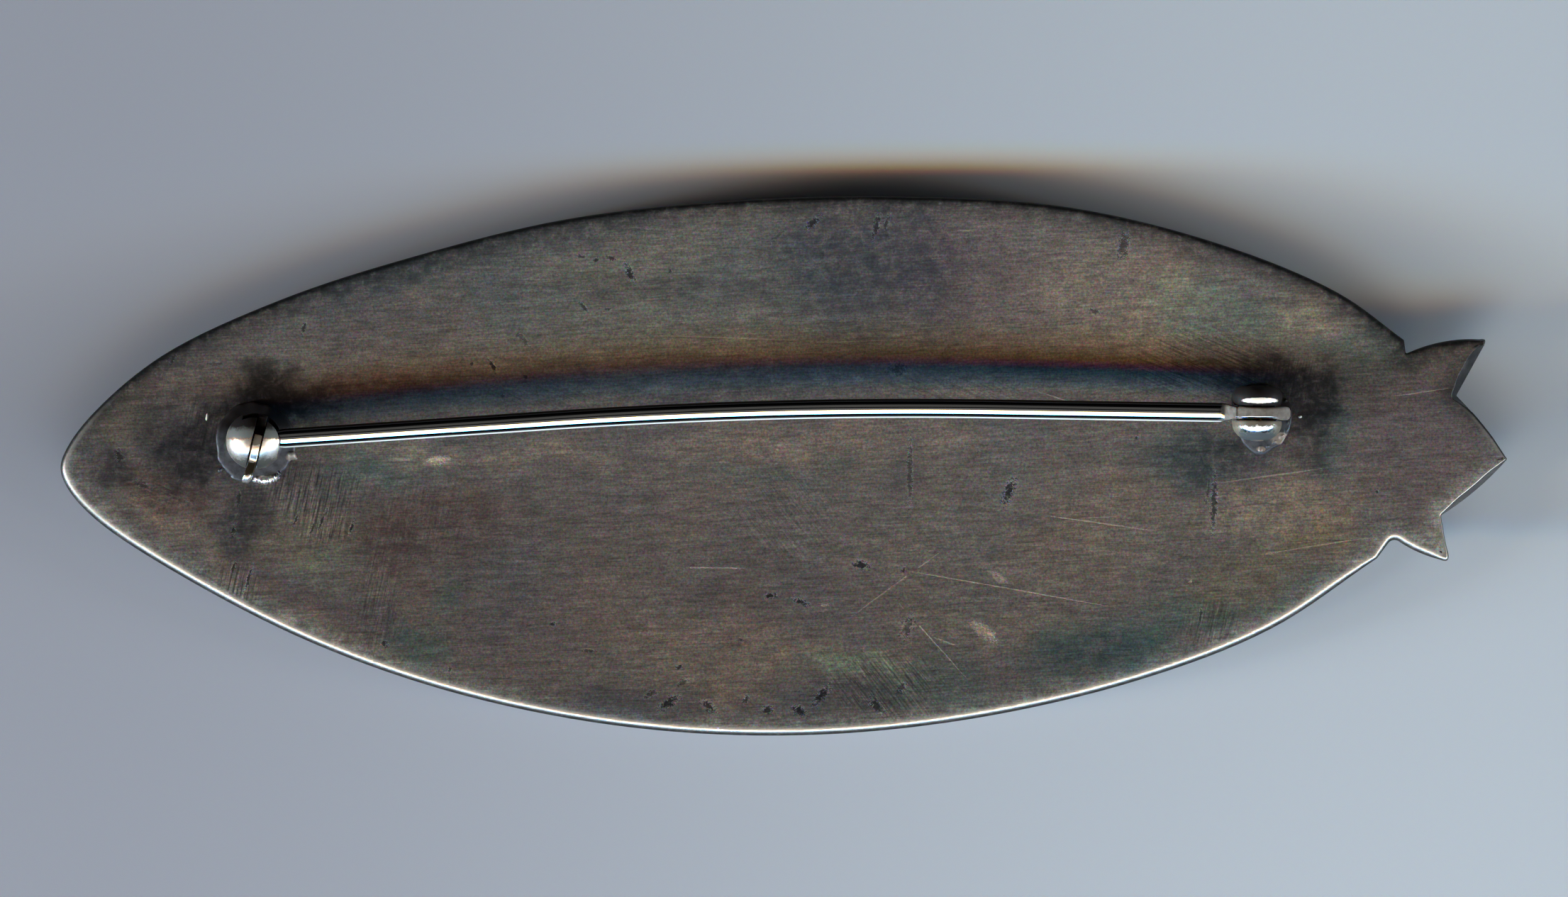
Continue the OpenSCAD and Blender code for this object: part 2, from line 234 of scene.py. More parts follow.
# Small dents, pits and scraped spots.
# Columns: x, y, half length, half width, turn, tint, strength
MARKS = [
    (-9.2, 11.5, 0.75, 0.24, -66, "black", 1.0),
    (-12.1, 12.5, 0.35, 0.14, -10, "black", 0.9),
    (-11.2, 12.3, 0.25, 0.16, 20, "black", 0.9),
    (-10.3, 12.4, 0.34, 0.14, -15, "black", 0.9),
    (1.7, 14.5, 0.7, 0.24, 42, "black", 0.95),
    (5.5, 14.3, 1.0, 0.22, 76, "black", 0.85),
    (6.1, 14.5, 0.7, 0.16, 72, "black", 0.7),
    (-0.4, 13.7, 0.8, 0.12, 45, "black", 0.5),
    (-6.8, 11.6, 0.14, 0.14, 0, "black", 1.0),
    (-12.0, 9.5, 0.4, 0.14, -45, "black", 0.8),
    (-10.5, 9.35, 0.2, 0.12, -20, "black", 0.8),
    (-15.6, 7.6, 0.7, 0.2, -50, "dusk", 0.7),
    (6.8, 5.8, 0.6, 0.4, 10, "black", 0.7),
    (-15.4, 5.3, 0.16, 0.14, 0, "black", 1.0),
    (-16.8, 4.2, 0.14, 0.12, 0, "black", 0.9),
    (-28.6, 8.2, 0.42, 0.14, 74, "black", 0.9),
    (-17.4, 6.0, 0.46, 0.16, -58, "black", 1.0),
    (-18.6, 6.1, 0.14, 0.12, 0, "black", 0.8),
    (20.2, 13.2, 0.85, 0.42, 82, "black", 0.75),
    (18.5, 9.2, 0.4, 0.16, -20, "dusk", 0.8),
    (13.4, -1.5, 1.05, 0.38, 72, "black", 0.95),
    (4.6, -5.9, 0.6, 0.3, -8, "black", 1.0),
    (-0.8, -7.75, 0.5, 0.2, 5, "black", 1.0),
    (1.0, -8.1, 0.6, 0.2, -18, "black", 1.0),
    (0.9, -14.6, 0.6, 0.34, -30, "black", 1.0),
    (2.2, -13.7, 0.9, 0.36, 50, "black", 1.0),
    (-1.0, -14.5, 0.36, 0.34, 0, "black", 0.9),
    (5.5, -14.3, 0.7, 0.36, -50, "black", 0.9),
    (5.0, -12.4, 0.4, 0.14, 20, "black", 0.5),
    (7.1, -6.2, 0.22, 0.14, 80, "black", 0.8),
    (7.3, -9.7, 1.0, 0.45, 70, "dusk", 0.6),
    (-2.6, -10.4, 0.18, 0.16, 0, "black", 0.8),
    (7.5, -0.4, 2.4, 0.2, 90, "dusk", 0.7),
    (-23.8, -10.6, 0.3, 0.26, 0, "black", 0.8),
    (-13.8, -9.4, 0.26, 0.16, 0, "black", 0.9),
    (-11.7, -11.0, 0.5, 0.12, -5, "black", 0.6),
    (-19.9, -12.1, 0.2, 0.14, 60, "black", 0.8),
    (-8.0, -13.6, 0.5, 0.26, 30, "black", 0.7),
    (-6.9, -14.1, 0.8, 0.34, 30, "black", 0.95),
    (-4.5, -14.3, 0.6, 0.3, -40, "black", 0.85),
    (-39.6, 0.6, 0.5, 0.3, -60, "black", 0.7),
    (-38.2, -1.1, 0.6, 0.26, -30, "black", 0.6),
    (-36.4, 6.4, 0.5, 0.2, 60, "dusk", 0.7),
    (-33.8, 6.1, 0.5, 0.14, 0, "black", 0.5),
    (-25.8, -3.7, 0.55, 0.13, 68, "black", 1.0),
    (-27.5, -3.2, 0.85, 0.13, 66, "black", 0.8),
    (-28.1, -3.7, 0.5, 0.12, 66, "black", 0.8),
    (-29.1, -3.2, 0.6, 0.12, 66, "black", 0.8),
    (-31.9, -6.7, 0.9, 0.14, 72, "black", 0.9),
    (-32.8, -6.0, 0.45, 0.13, 68, "black", 0.8),
    (-32.8, -3.8, 0.5, 0.16, 82, "black", 0.7),
    (-32.5, -1.9, 0.6, 0.17, 86, "black", 0.7),
    (-6.3, -12.0, 0.25, 0.16, 20, "black", 0.9),
    (-6.0, -12.9, 0.4, 0.18, 20, "black", 0.7),
    (-2.3, -13.9, 0.4, 0.2, 60, "black", 0.8),
    (7.0, -13.2, 0.5, 0.28, 60, "black", 0.8),
    (25.6, -2.2, 2.0, 0.26, 88, "dusk", 0.9),
    (25.3, -1.3, 1.3, 0.12, 80, "black", 0.6),
    (24.8, -8.9, 0.9, 0.1, 86, "black", 0.6),
    (35.3, -1.5, 0.14, 0.12, 0, "black", 0.9),
    (21.0, 1.7, 0.14, 0.12, 0, "black", 1.0),
    (11.9, -9.9, 1.0, 0.4, -38, "pale", 0.85),
    (12.8, -6.7, 0.75, 0.26, -35, "pale", 0.5),
    (-20.7, 0.3, 0.9, 0.3, 8, "pale", 0.75),
    (-22.9, 0.35, 0.9, 0.1, -2, "pale", 0.5),
    (24.2, -6.9, 0.16, 0.08, 50, "pale", 1.0),
    (2.4, -8.35, 0.3, 0.1, 0, "pale", 0.7),
    (9.6, -10.5, 0.8, 0.08, -20, "pale", 0.6),
    (13.2, -7.3, 6.2, 0.06, -10, "pale", 0.7),
    (6.6, -7.1, 3.5, 0.06, 36, "pale", 0.6),
    (8.8, -10.4, 3.0, 0.06, -48, "pale", 0.65),
    (-4.0, -6.1, 1.8, 0.07, -1, "pale", 0.8),
    (29.0, -0.6, 3.6, 0.06, 8, "pale", 0.7),
    (31.5, -4.8, 3.2, 0.06, 9, "pale", 0.7),
    (18.6, -3.4, 4.0, 0.06, -8, "pale", 0.6),
    (17.0, 3.8, 2.2, 0.06, -18, "pale", 0.7),
    (38.2, 4.4, 1.8, 0.06, 8, "pale", 0.7),
    (10.8, 14.0, 0.6, 0.07, -3, "pale", 0.7),
    (-3.0, 7.6, 5.0, 0.06, -2, "pale", 0.3),
    (4.0, 7.4, 4.0, 0.05, 2, "pale", 0.3),
]

# Turns of the three ways in which groups of short scratches run
HATCH_TURNS = (78, -52, -24)

# Groups of short scratches.
# Columns: x, y, half length, half width of the group, which way they run, strength
SCRATCH_GROUPS = [
    (-28.2, -1.6, 4.2, 2.4, 0, 1.0),
    (-34.4, 2.4, 2.0, 2.4, 0, 0.6),
    (-37.0, -1.6, 3.6, 1.0, 2, 0.5),
    (30.2, 5.2, 3.0, 2.0, 0, 0.6),
    (-27.4, -3.6, 2.4, 1.6, 0, 0.9),
    (-32.6, -7.2, 2.2, 2.0, 0, 0.9),
    (-24.2, -8.0, 2.0, 4.6, 0, 0.5),
    (25.4, -9.3, 2.4, 2.0, 0, 0.6),
    (29.0, 0.6, 4.0, 1.2, 0, 0.3),
    (6.0, -13.0, 4.6, 2.8, 1, 0.8),
    (0.0, -3.0, 5.0, 4.4, 1, 0.3),
    (-22.0, -3.0, 5.0, 4.0, 0, 0.25),
    (25.0, 6.0, 6.4, 3.2, 2, 0.7),
    (10.0, 4.4, 7.0, 1.6, 2, 0.35),
    (-14.0, 4.2, 7.0, 1.4, 2, 0.25),
]


def back_height(x, y):
    """Height of the sheet's back at a place on it."""
    across = math.sqrt((BEND_CROSS - SHEET) ** 2 - (y - LOW_Y) ** 2)
    return BEND_LONG - math.sqrt((RING + across) ** 2 - (x - LOW_X) ** 2)


def front_height(x, y):
    """Height of the sheet's domed front at a place on it."""
    across = math.sqrt(BEND_CROSS ** 2 - (y - LOW_Y) ** 2)
    return BEND_LONG - math.sqrt((RING + across) ** 2 - (x - LOW_X) ** 2)


def mix(a, b, share):
    """Value at a share of the way from a to b."""
    return a + (b - a) * share


def smooth_line(points, steps):
    """Centripetal spline through a list of points."""
    ends = [2 * points[0] - points[1], *points, 2 * points[-1] - points[-2]]

    def slope(before, here, after):
        """Slope of the spline at the middle one of three points."""
        d1 = math.sqrt((here - before).length)
        d2 = math.sqrt((after - here).length)
        return (here - before) / d1 - (after - before) / (d1 + d2) + (after - here) / d2

    line = []
    for before, a, b, after in zip(ends, ends[1:], ends[2:], ends[3:]):
        reach = math.sqrt((b - a).length)
        slope_a = reach * slope(before, a, b)
        slope_b = reach * slope(a, b, after)
        for k in range(steps):
            t = k / steps
            line.append(
                (2 * t ** 3 - 3 * t * t + 1) * a + (t ** 3 - 2 * t * t + t) * slope_a
                + (3 * t * t - 2 * t ** 3) * b + (t ** 3 - t * t) * slope_b
            )
    return line + [points[-1]]


def rim_rows():
    """Rows round the outline: place, rounding of the rim, slope of the wall."""
    body_steps = 8
    corner_steps = 6
    edge_steps = 10
    fade_long = 3.0
    high_side = 6.0
    body = smooth_line([Vector(p) for p in RIM], body_steps)
    rows = []
    for p in body:
        from_end = min((p - body[0]).length, (p - body[-1]).length)
        rounding = mix(LOW_ROUND, HIGH_ROUND, min(1, max(0, p.y / high_side)))
        rows.append((p, mix(TAIL_ROUND, rounding, min(1, from_end / fade_long)), 0))

    places = [Vector(row[:2]) for row in TAIL]
    corners = []
    for before, here, after, row in zip([body[-1]] + places, places, places[1:] + [body[0]], TAIL):
        a = (before - here).normalized()
        b = (after - here).normalized()
        reach = row[2] / math.tan(math.acos(a.dot(b)) / 2)
        turn = []
        for k in range(corner_steps + 1):
            t = k / corner_steps
            turn.append(here + (1 - t) ** 2 * reach * a + t * t * reach * b)
        corners.append(turn)

    for i, (turn, row) in enumerate(zip(corners, TAIL)):
        rows += [(p, row[4], row[6]) for p in turn]
        if i + 1 == len(TAIL):
            break
        following = TAIL[i + 1]
        a = turn[-1]
        b = corners[i + 1][0]
        side = Vector((b.y - a.y, a.x - b.x)).normalized()
        for k in range(1, edge_steps):
            t = k / edge_steps
            inside = min(1, 4 * min(t, 1 - t))
            rows.append((
                mix(a, b, t) + 4 * t * (1 - t) * row[3] * side,
                mix(mix(row[4], following[4], t), row[5], inside),
                mix(mix(row[6], following[6], t), row[7], inside),
            ))
    return rows


def next_row(bm, row):
    """Extrudes a closed row of vertices, and returns the new row in the same order."""
    edges = [bm.edges.get((a, b)) for a, b in zip(row, row[1:] + row[:1])]
    made = bmesh.ops.extrude_edge_only(bm, edges=edges)["geom"]
    fresh = {v for v in made if isinstance(v, bmesh.types.BMVert)}
    return [next(e.other_vert(v) for e in v.link_edges if e.other_vert(v) in fresh) for v in row]


def cut_panel(bm, face, size):
    """Cuts one large face into squares, and returns its vertices."""
    geom = [face, *face.edges, *face.verts]
    for axis in (0, 1):
        values = [v.co[axis] for v in geom if isinstance(v, bmesh.types.BMVert)]
        low = min(values)
        high = max(values)
        count = math.ceil((high - low) / size)
        direction = Vector((0, 0, 0))
        direction[axis] = 1
        for k in range(1, count):
            place = direction * mix(low, high, k / count)
            cut = bmesh.ops.bisect_plane(bm, geom=geom, dist=0.0001, plane_co=place, plane_no=direction)
            geom = cut["geom"]
    return [v for v in geom if isinstance(v, bmesh.types.BMVert)]


def finish_piece(name, bm, body, material, sharp=40):
    """Makes a bmesh a piece of the brooch that rides on a body."""
    bmesh.ops.recalc_face_normals(bm, faces=bm.faces)
    bmesh.ops.scale(bm, vec=(MM, MM, MM), verts=bm.verts)
    mesh = bpy.data.meshes.new(name)
    bm.to_mesh(mesh)
    bm.free()
    mesh.shade_smooth()
    mesh.set_sharp_from_angle(angle=math.radians(sharp))
    mesh.materials.append(material)
    piece = bpy.data.objects.new(name, mesh)
    bpy.context.scene.collection.objects.link(piece)
    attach(piece, body)
    return piece


def in_ellipse(x, y, row):
    """Place of a point in an ellipse's own measure, 1 long at its rim."""
    turn = math.radians(row[4])
    dx = x - row[0]
    dy = y - row[1]
    along = dx * math.cos(turn) + dy * math.sin(turn)
    across = dy * math.cos(turn) - dx * math.sin(turn)
    return along / row[2], across / row[3]


def fade(value):
    """Smooth step from 0 to 1."""
    value = min(1, max(0, value))
    return value * value * (3 - 2 * value)


def upper_side(y):
    """1 on the fish's upper side and 0 on its lower side."""
    return fade((y + 2) / 7)


def tinted(colour, tint, share):
    """A colour with a share of a tint laid over it."""
    return [c * mix(1, t, share) for c, t in zip(colour, tint)]


def stain_and_shade_at(x, y, off_rim):
    """Colour of tarnish and painted shade at a place, from the patches that reach it and from its
    distance off the rim.
    """
    push = noise.noise_vector(Vector((x, y, 3.1)) * 0.35)
    push += 0.7 * noise.noise_vector(Vector((x, y, 7.7)) * 1.1)
    reach = 1.3
    soft = 0.9
    colour = (1, 1, 1)
    for row in STAINS:
        away = math.hypot(*in_ellipse(x + push.x, y + push.y, row))
        if away >= reach:
            continue
        colour = tinted(colour, TINTS[row[5]], row[6] * fade((reach - away) / soft))
    colour = tinted(colour, RIM_DARKENING, upper_side(y) * max(0, 1 - off_rim / RIM_DARKENING_WIDE))
    return tinted(colour, RIM_LIGHTENING, (1 - upper_side(y)) * fade(1 - off_rim / RIM_LIGHTENING_WIDE))


def nearest_mark(x, y):
    """The mark that lies nearest to a place on the sheet, and how far off it is."""
    best = None
    nearest = 1e9
    for row in MARKS:
        along, across = in_ellipse(x, y, row)
        off = math.hypot(max(0, abs(along) - 1) * row[2], max(0, abs(across) - 1) * row[3])
        if off < nearest:
            nearest = off
            best = row
    return best, nearest


def scratches_at(x, y):
    """Strength of the scratches at a place, for each of the three ways in which they run."""
    weights = [0, 0, 0]
    for row in SCRATCH_GROUPS:
        away = math.hypot(*in_ellipse(x, y, (*row[:4], 0)))
        weights[row[4]] = max(weights[row[4]], row[5] * fade(1.4 * (1 - away)))
    return weights


def inward_sides(places):
    """Directions into the sheet from the places of its outline."""
    sides = []
    for before, here, after in zip(places[-1:] + places, places, places[1:] + places[:1]):
        along = ((here - before).normalized() + (after - here).normalized()).normalized()
        sides.append(Vector((-along.y, along.x)))
    return sides


def make_plate(material):
    """The dished sheet, with a rounded rim and sawn tail."""
    rows = rim_rows()
    inward = inward_sides([row[0] for row in rows])
    nose_x = -43
    nose_long = 9

    bm = bmesh.new()
    bare = bm.verts.layers.float.new("bare")
    stain_and_shade = bm.verts.layers.float_color.new("stain_and_shade")
    hatch = bm.verts.layers.float_vector.new("hatch")
    mark_place = bm.loops.layers.float_vector.new("mark_place")
    mark_tint = bm.loops.layers.float_color.new("mark_tint")

    def set_row(line, offset, height, low_worn, high_worn, shade=1.0):
        """Places a row off the outline, with its wear on the lower and the upper side and its painted
        shade.
        """
        for v, (p, rounding, lean), side in zip(line, rows, inward):
            off = offset(rounding, lean)
            place = p + side * off
            v.co = (*place, height(place.x, place.y, rounding))
            low = low_worn * mix(NOSE_WORN, 1, fade((place.x - nose_x) / nose_long))
            v[bare] = mix(max(low, high_worn), high_worn, upper_side(place.y))
            v[stain_and_shade] = (*[c * shade for c in stain_and_shade_at(place.x, place.y, off)], 1)

    line = [bm.verts.new((*row[0], 0)) for row in rows]
    back = bm.faces.new(line)
    set_row(line, lambda r, lean: lean + r + INNER_ROW, lambda x, y, r: back_height(x, y), 0, 0)
    round_steps = len(RIM_WORN) - 1
    for k in range(round_steps + 1):
        turn = math.radians(90 * k / round_steps)
        line = next_row(bm, line)
        set_row(
            line,
            lambda r, lean: lean + r * (1 - math.sin(turn)),
            lambda x, y, r: back_height(x, y) - r * (1 - math.cos(turn)),
            RIM_WORN[k],
            0,
            RIM_SHADE[k],
        )
    # The front's first row, on the wall, keeps the rim's dark painted shade, and the rows after it turn
    # to bare metal
    front_steps = 4
    for k in range(front_steps + 1):
        turn = math.radians(90 * k / front_steps)
        worn = min(1, 2 * k / front_steps)
        line = next_row(bm, line)
        set_row(
            line,
            lambda r, lean: min(FRONT_ROUND, r / 2) * (1 - math.cos(turn)),
            lambda x, y, r: front_height(x, y) + min(FRONT_ROUND, r / 2) * (1 - math.sin(turn)),
            worn,
            worn,
            mix(RIM_SHADE[-1], 1, worn),
        )
    front = bm.faces.new(line[::-1])

    front_square = 1.2
    for v in cut_panel(bm, front, front_square):
        v.co.z = front_height(v.co.x, v.co.y)
        v[bare] = 1
        v[stain_and_shade] = (1, 1, 1, 1)
    back_square = 0.5
    back_verts = cut_panel(bm, back, back_square)
    swell = 0.006
    swell_size = 0.16
    rim = kdtree.KDTree(len(rows))
    for i, row in enumerate(rows):
        rim.insert((*row[0], 0), i)
    rim.balance()
    for v in back_verts:
        x, y, z = v.co
        off_rim = rim.find((x, y, 0))[2]
        v.co.z = back_height(x, y) + swell * noise.noise(Vector((x, y, 0)) * swell_size)
        v[stain_and_shade] = (*stain_and_shade_at(x, y, off_rim), 1)
        v[hatch] = scratches_at(x, y)

    # Place, in an ellipse's own measure, for corners that no mark reaches
    far = (9, 9, 0)
    for face in {f for v in back_verts for f in v.link_faces}:
        middle = face.calc_center_median()
        row, off = nearest_mark(middle.x, middle.y)
        for loop in face.loops:
            x, y, z = loop.vert.co
            loop[mark_place] = (*in_ellipse(x, y, row), 0) if off < back_square else far
            loop[mark_tint] = (*TINTS[row[5]], row[6])
    piece = finish_piece("sheet", bm, "brooch", material, sharp=70)
    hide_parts("fish_body")
    return piece


# Places of the fittings, from the frame

def stand(joint, along):
    """Place and turn of a fitting that stands on the sheet at a joint."""
    place = Vector(joint["pos_m"]) / MM
    axis = Vector(joint["axis"]).normalized()
    if along == "x":
        turn = math.atan2(-axis.y, -axis.x)
    else:
        turn = math.atan2(-axis.x, axis.y)
    return Matrix.Translation(place) @ Matrix.Rotation(turn, 4, "Z")


AT_CATCH = stand(joints["catch_turn"], "x")
AT_HINGE = stand(joints["pin_swing"], "y")
BALL_PLACE = AT_CATCH.to_translation()
HINGE_PLACE = AT_HINGE.to_translation()


def polar(radius, turn):
    """Point at a turn from straight up towards +Y, as (y, z)."""
    return Vector((radius * math.sin(math.radians(turn)), radius * math.cos(math.radians(turn))))


def arc(centre, radius, start, end, steps):
    """Points along an arc, with turns measured as polar does."""
    return [centre + polar(radius, mix(start, end, k / steps)) for k in range(steps + 1)]


def plain_object(bm):
    """Object of a bmesh, for a modifier to work on."""
    mesh = bpy.data.meshes.new("scratch")
    bm.to_mesh(mesh)
    bm.free()
    made = bpy.data.objects.new("scratch", mesh)
    bpy.context.scene.collection.objects.link(made)
    return made


def applied(body, scraps=()):
    """New bmesh of an object with its modifiers applied. The object and the scraps are removed."""
    made = bmesh.new()
    made.from_object(body, bpy.context.evaluated_depsgraph_get())
    for scrap in [body, *scraps]:
        mesh = scrap.data
        bpy.data.objects.remove(scrap)
        bpy.data.meshes.remove(mesh)
    return made


def carve(solid, changes, bevel):
    """New bmesh of a solid that closed shapes are cut from or joined to, with its edges softened."""
    body = plain_object(solid)
    tools = []
    for operation, shape in changes:
        tool = plain_object(shape)
        tools.append(tool)
        change = body.modifiers.new("change", "BOOLEAN")
        change.operation = operation
        change.solver = "EXACT"
        change.object = tool
    soften = body.modifiers.new("soften", "BEVEL")
    soften.width = bevel
    soften.segments = 3
    soften.limit_method = "ANGLE"
    soften.angle_limit = math.radians(35)
    return applied(body, tools)


def block(low, high):
    """Closed box between two corners."""
    bm = bmesh.new()
    bmesh.ops.create_cube(bm, size=1)
    low = Vector(low)
    high = Vector(high)
    bmesh.ops.scale(bm, vec=high - low, verts=bm.verts)
    bmesh.ops.translate(bm, vec=(low + high) / 2, verts=bm.verts)
    return bm


def rod(radius, low, high, turn=None, sides=64):
    """Closed cylinder along Z, or turned by a matrix."""
    bm = bmesh.new()
    bmesh.ops.create_cone(
        bm, cap_ends=True, segments=sides, radius1=radius, radius2=radius, depth=high - low
    )
    bmesh.ops.translate(bm, vec=(0, 0, (low + high) / 2), verts=bm.verts)
    if turn:
        bmesh.ops.transform(bm, matrix=turn, verts=bm.verts)
    return bm


def spun(profile, axis, steps=72):
    """Closed solid that a profile makes when it turns about an axis. Its ends lie on the axis."""
    bm = bmesh.new()
    line = [bm.verts.new(p) for p in profile]
    edges = [bm.edges.new(pair) for pair in zip(line, line[1:])]
    bmesh.ops.spin(
        bm, geom=line + edges, cent=(0, 0, 0), axis=axis, angle=2 * math.pi, steps=steps, use_merge=True
    )
    bmesh.ops.remove_doubles(bm, verts=bm.verts, dist=0.0001)
    bmesh.ops.recalc_face_normals(bm, faces=bm.faces)
    return bm


ALONG_X = Matrix.Rotation(math.radians(90), 4, "Y")
ALONG_Y = Matrix.Rotation(math.radians(-90), 4, "X")

# How far a cutting shape reaches past a fitting
PAST = 3.0

# Softening of the fittings' edges
SOFT_EDGE = 0.05

# Leaf of the catch: thickness, place off the ball's middle, radius, and turn and radius of its mouth
LEAF_T = 0.46
LEAF_OFF = 0.2
LEAF_R = 1.62
LEAF_MOUTH = 40
LEAF_MOUTH_R = 0.68

# Thumb tab of the leaf: turn, half width, reach, rounding at its root, and bend at its tip
TAB_TURN = -65
TAB_HALF = 0.5
TAB_END = 2.78
TAB_FILLET = 0.4
TAB_BEND = 0.16

# Hub that the leaf turns on: radius, half length, and the play round it
HUB_R = 1.05
HUB_HALF = 0.65
HUB_PLAY = 0.05

# Ball of the catch: radius, slot for the leaf, bore for the wire, and turn of its mouth
BALL_R = 1.7
SLOT = LEAF_T + 0.2
SLOT_LOW = -1.15
BORE_R = 0.73
BORE_END = -1.0
BALL_MOUTH = 80


def open_side(start, half, turn):
    """Block that opens a bore to the side, at a turn from straight up."""
    bm = block((start, -half, 0), (PAST, half, PAST))
    turned = Matrix.Rotation(math.radians(-turn), 3, "X")
    bmesh.ops.rotate(bm, cent=(0, 0, 0), matrix=turned, verts=bm.verts)
    return bm


def make_ball(material):
    """The catch's ball, slotted for the leaf and open to the side for the wire."""
    ball = bmesh.new()
    bmesh.ops.create_uvsphere(ball, u_segments=72, v_segments=48, radius=BALL_R)
    bmesh.ops.transform(ball, matrix=ALONG_X, verts=ball.verts)
    slot_low = (LEAF_OFF - SLOT / 2, -PAST, SLOT_LOW)
    slot_high = (LEAF_OFF + SLOT / 2, PAST, PAST)
    hub_half = HUB_HALF + HUB_PLAY
    made = carve(ball, [
        ("DIFFERENCE", block(slot_low, slot_high)),
        ("DIFFERENCE", rod(HUB_R + HUB_PLAY, LEAF_OFF - hub_half, LEAF_OFF + hub_half, ALONG_X)),
        ("DIFFERENCE", rod(BORE_R, BORE_END, PAST, ALONG_X)),
        ("DIFFERENCE", open_side(BORE_END, BORE_R, BALL_MOUTH)),
    ], SOFT_EDGE)
    bmesh.ops.transform(made, matrix=AT_CATCH, verts=made.verts)
    return finish_piece("catch_ball", made, "brooch", material, sharp=50)


def along_tab(v):
    """How far a vertex of the leaf reaches along its tab."""
    return Vector((v.co.y, v.co.z)).dot(polar(1, TAB_TURN))


def leaf_outline():
    """Outline of the leaf as (y, z): round, with a mouth for the wire and a thumb tab."""
    reach = LEAF_R + TAB_FILLET
    along = math.sqrt(reach ** 2 - (TAB_HALF + TAB_FILLET) ** 2)
    spread = math.degrees(math.atan2(TAB_HALF + TAB_FILLET, along))
    half_mouth = math.degrees(math.asin(LEAF_MOUTH_R / LEAF_R))
    middle = Vector((0, 0))
    low_fillet = polar(reach, TAB_TURN - spread)
    high_fillet = polar(reach, TAB_TURN + spread)
    tip = polar(TAB_END - TAB_HALF, TAB_TURN)
    return [
        *arc(middle, LEAF_R, LEAF_MOUTH + half_mouth, 360 + TAB_TURN - spread, 48),
        *arc(low_fillet, TAB_FILLET, TAB_TURN - spread + 180, TAB_TURN + 90, 6)[1:],
        *arc(tip, TAB_HALF, TAB_TURN - 90, TAB_TURN + 90, 16),
        *arc(high_fillet, TAB_FILLET, TAB_TURN - 90, TAB_TURN + spread - 180, 6),
        *arc(middle, LEAF_R, TAB_TURN + spread, LEAF_MOUTH - half_mouth, 12)[1:],
        *arc(middle, LEAF_MOUTH_R, LEAF_MOUTH - 90, LEAF_MOUTH - 270, 24),
    ]


def leaf_plate():
    """The leaf, with the tip of its tab rounded more than its other edges."""
    tip_round = LEAF_T * 0.34
    square_turn = 1.2
    bm = bmesh.new()
    face = bm.faces.new([bm.verts.new((-LEAF_T / 2, *p)) for p in leaf_outline()])
    made = bmesh.ops.extrude_face_region(bm, geom=[face])["geom"]
    raised = [v for v in made if isinstance(v, bmesh.types.BMVert)]
    bmesh.ops.translate(bm, vec=(LEAF_T, 0, 0), verts=raised)
    bmesh.ops.recalc_face_normals(bm, faces=bm.faces)
    rims = [e for e in bm.edges if abs(e.verts[0].co.x - e.verts[1].co.x) < 0.01]
    tip_rims = [e for e in rims if all(along_tab(v) > TAB_END - TAB_HALF for v in e.verts)]
    bmesh.ops.bevel(
        bm, geom=tip_rims, offset=tip_round, segments=5, profile=0.5, affect="EDGES", material=-1
    )
    rims = [e for e in bm.edges if len(e.link_faces) == 2 and e.calc_face_angle(0) > square_turn]
    bmesh.ops.bevel(
        bm, geom=rims, offset=SOFT_EDGE, segments=2, profile=0.5, affect="EDGES", material=-1
    )
    return bm


def make_leaf(material):
    """The catch's leaf, and the hub that it turns on."""
    hub_edge = 0.02
    join_edge = 0.01
    hub = rod(HUB_R, -HUB_HALF, HUB_HALF, ALONG_X)
    hub = carve(hub, [("DIFFERENCE", rod(LEAF_MOUTH_R, -PAST, PAST, ALONG_X))], hub_edge)
    slit = open_side(-PAST, LEAF_MOUTH_R, LEAF_MOUTH)
    made = carve(hub, [("DIFFERENCE", slit), ("UNION", leaf_plate())], join_edge)
    for v in made.verts:
        out = max(0, (along_tab(v) - LEAF_R) / (TAB_END - LEAF_R))
        v.co.x += LEAF_OFF - TAB_BEND * out * out
    bmesh.ops.transform(made, matrix=AT_CATCH, verts=made.verts)
    piece = finish_piece("catch_leaf", made, "lever", material, sharp=50)
    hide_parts("catch_lever")
    return piece


# Tongue of the stem, between the cheeks: thickness, half height, and length to each side of the rivet
TONGUE_T = 0.8
TONGUE_UP = 1.38
TONGUE_END = 2.0

# Hinge: radius and thickness of a cheek, and the gap between the two
CHEEK_R = 1.48
CHEEK_T = 1.15
CHEEK_GAP = TONGUE_T + 0.12

# Height of the rivet above the sheet, and the foot under the cheeks: radius, both ends,
# and height of the gap's floor above the sheet
HINGE_UP = 2.35
NECK_R = 1.25
NECK_LOW = -HINGE_UP - 0.3
NECK_HIGH = -0.2
FOOT_UP = 0.2

# The two cheeks. Columns: side, rounding at the gap, its tilt, rounding at the outer side
CHEEKS = [
    (1, 0.9, 30, 0.66),
    (-1, 0.2, 30, 1.04),
]

# Rivet: radius, and the play round it in the cheeks and in the tongue
RIVET_R = 0.3
CHEEK_PLAY = 0.01
TONGUE_PLAY = 0.05


def cheek(side, inner_round, inner_tilt, outer_round):
    """One cheek on a side of the gap, 1 or -1, tilted towards the gap and domed at the outer side."""
    inner = CHEEK_GAP / 2
    outer = inner + CHEEK_T
    crest = inner + inner_round * math.sin(math.radians(inner_tilt))
    middle = Vector((0, 0))
    inside = [
        (CHEEK_R - inner_round + p.y, crest - p.x)
        for p in arc(middle, inner_round, inner_tilt, 0, 8)
    ]
    outside = [
        (CHEEK_R - outer_round + p.y, outer - outer_round + p.x)
        for p in arc(middle, outer_round, 0, 90, 14)
    ]
    profile = [(0, inner), *inside, *outside, (0, outer)]
    return spun([(x, side * y, 0) for x, y in profile], (0, 1, 0))


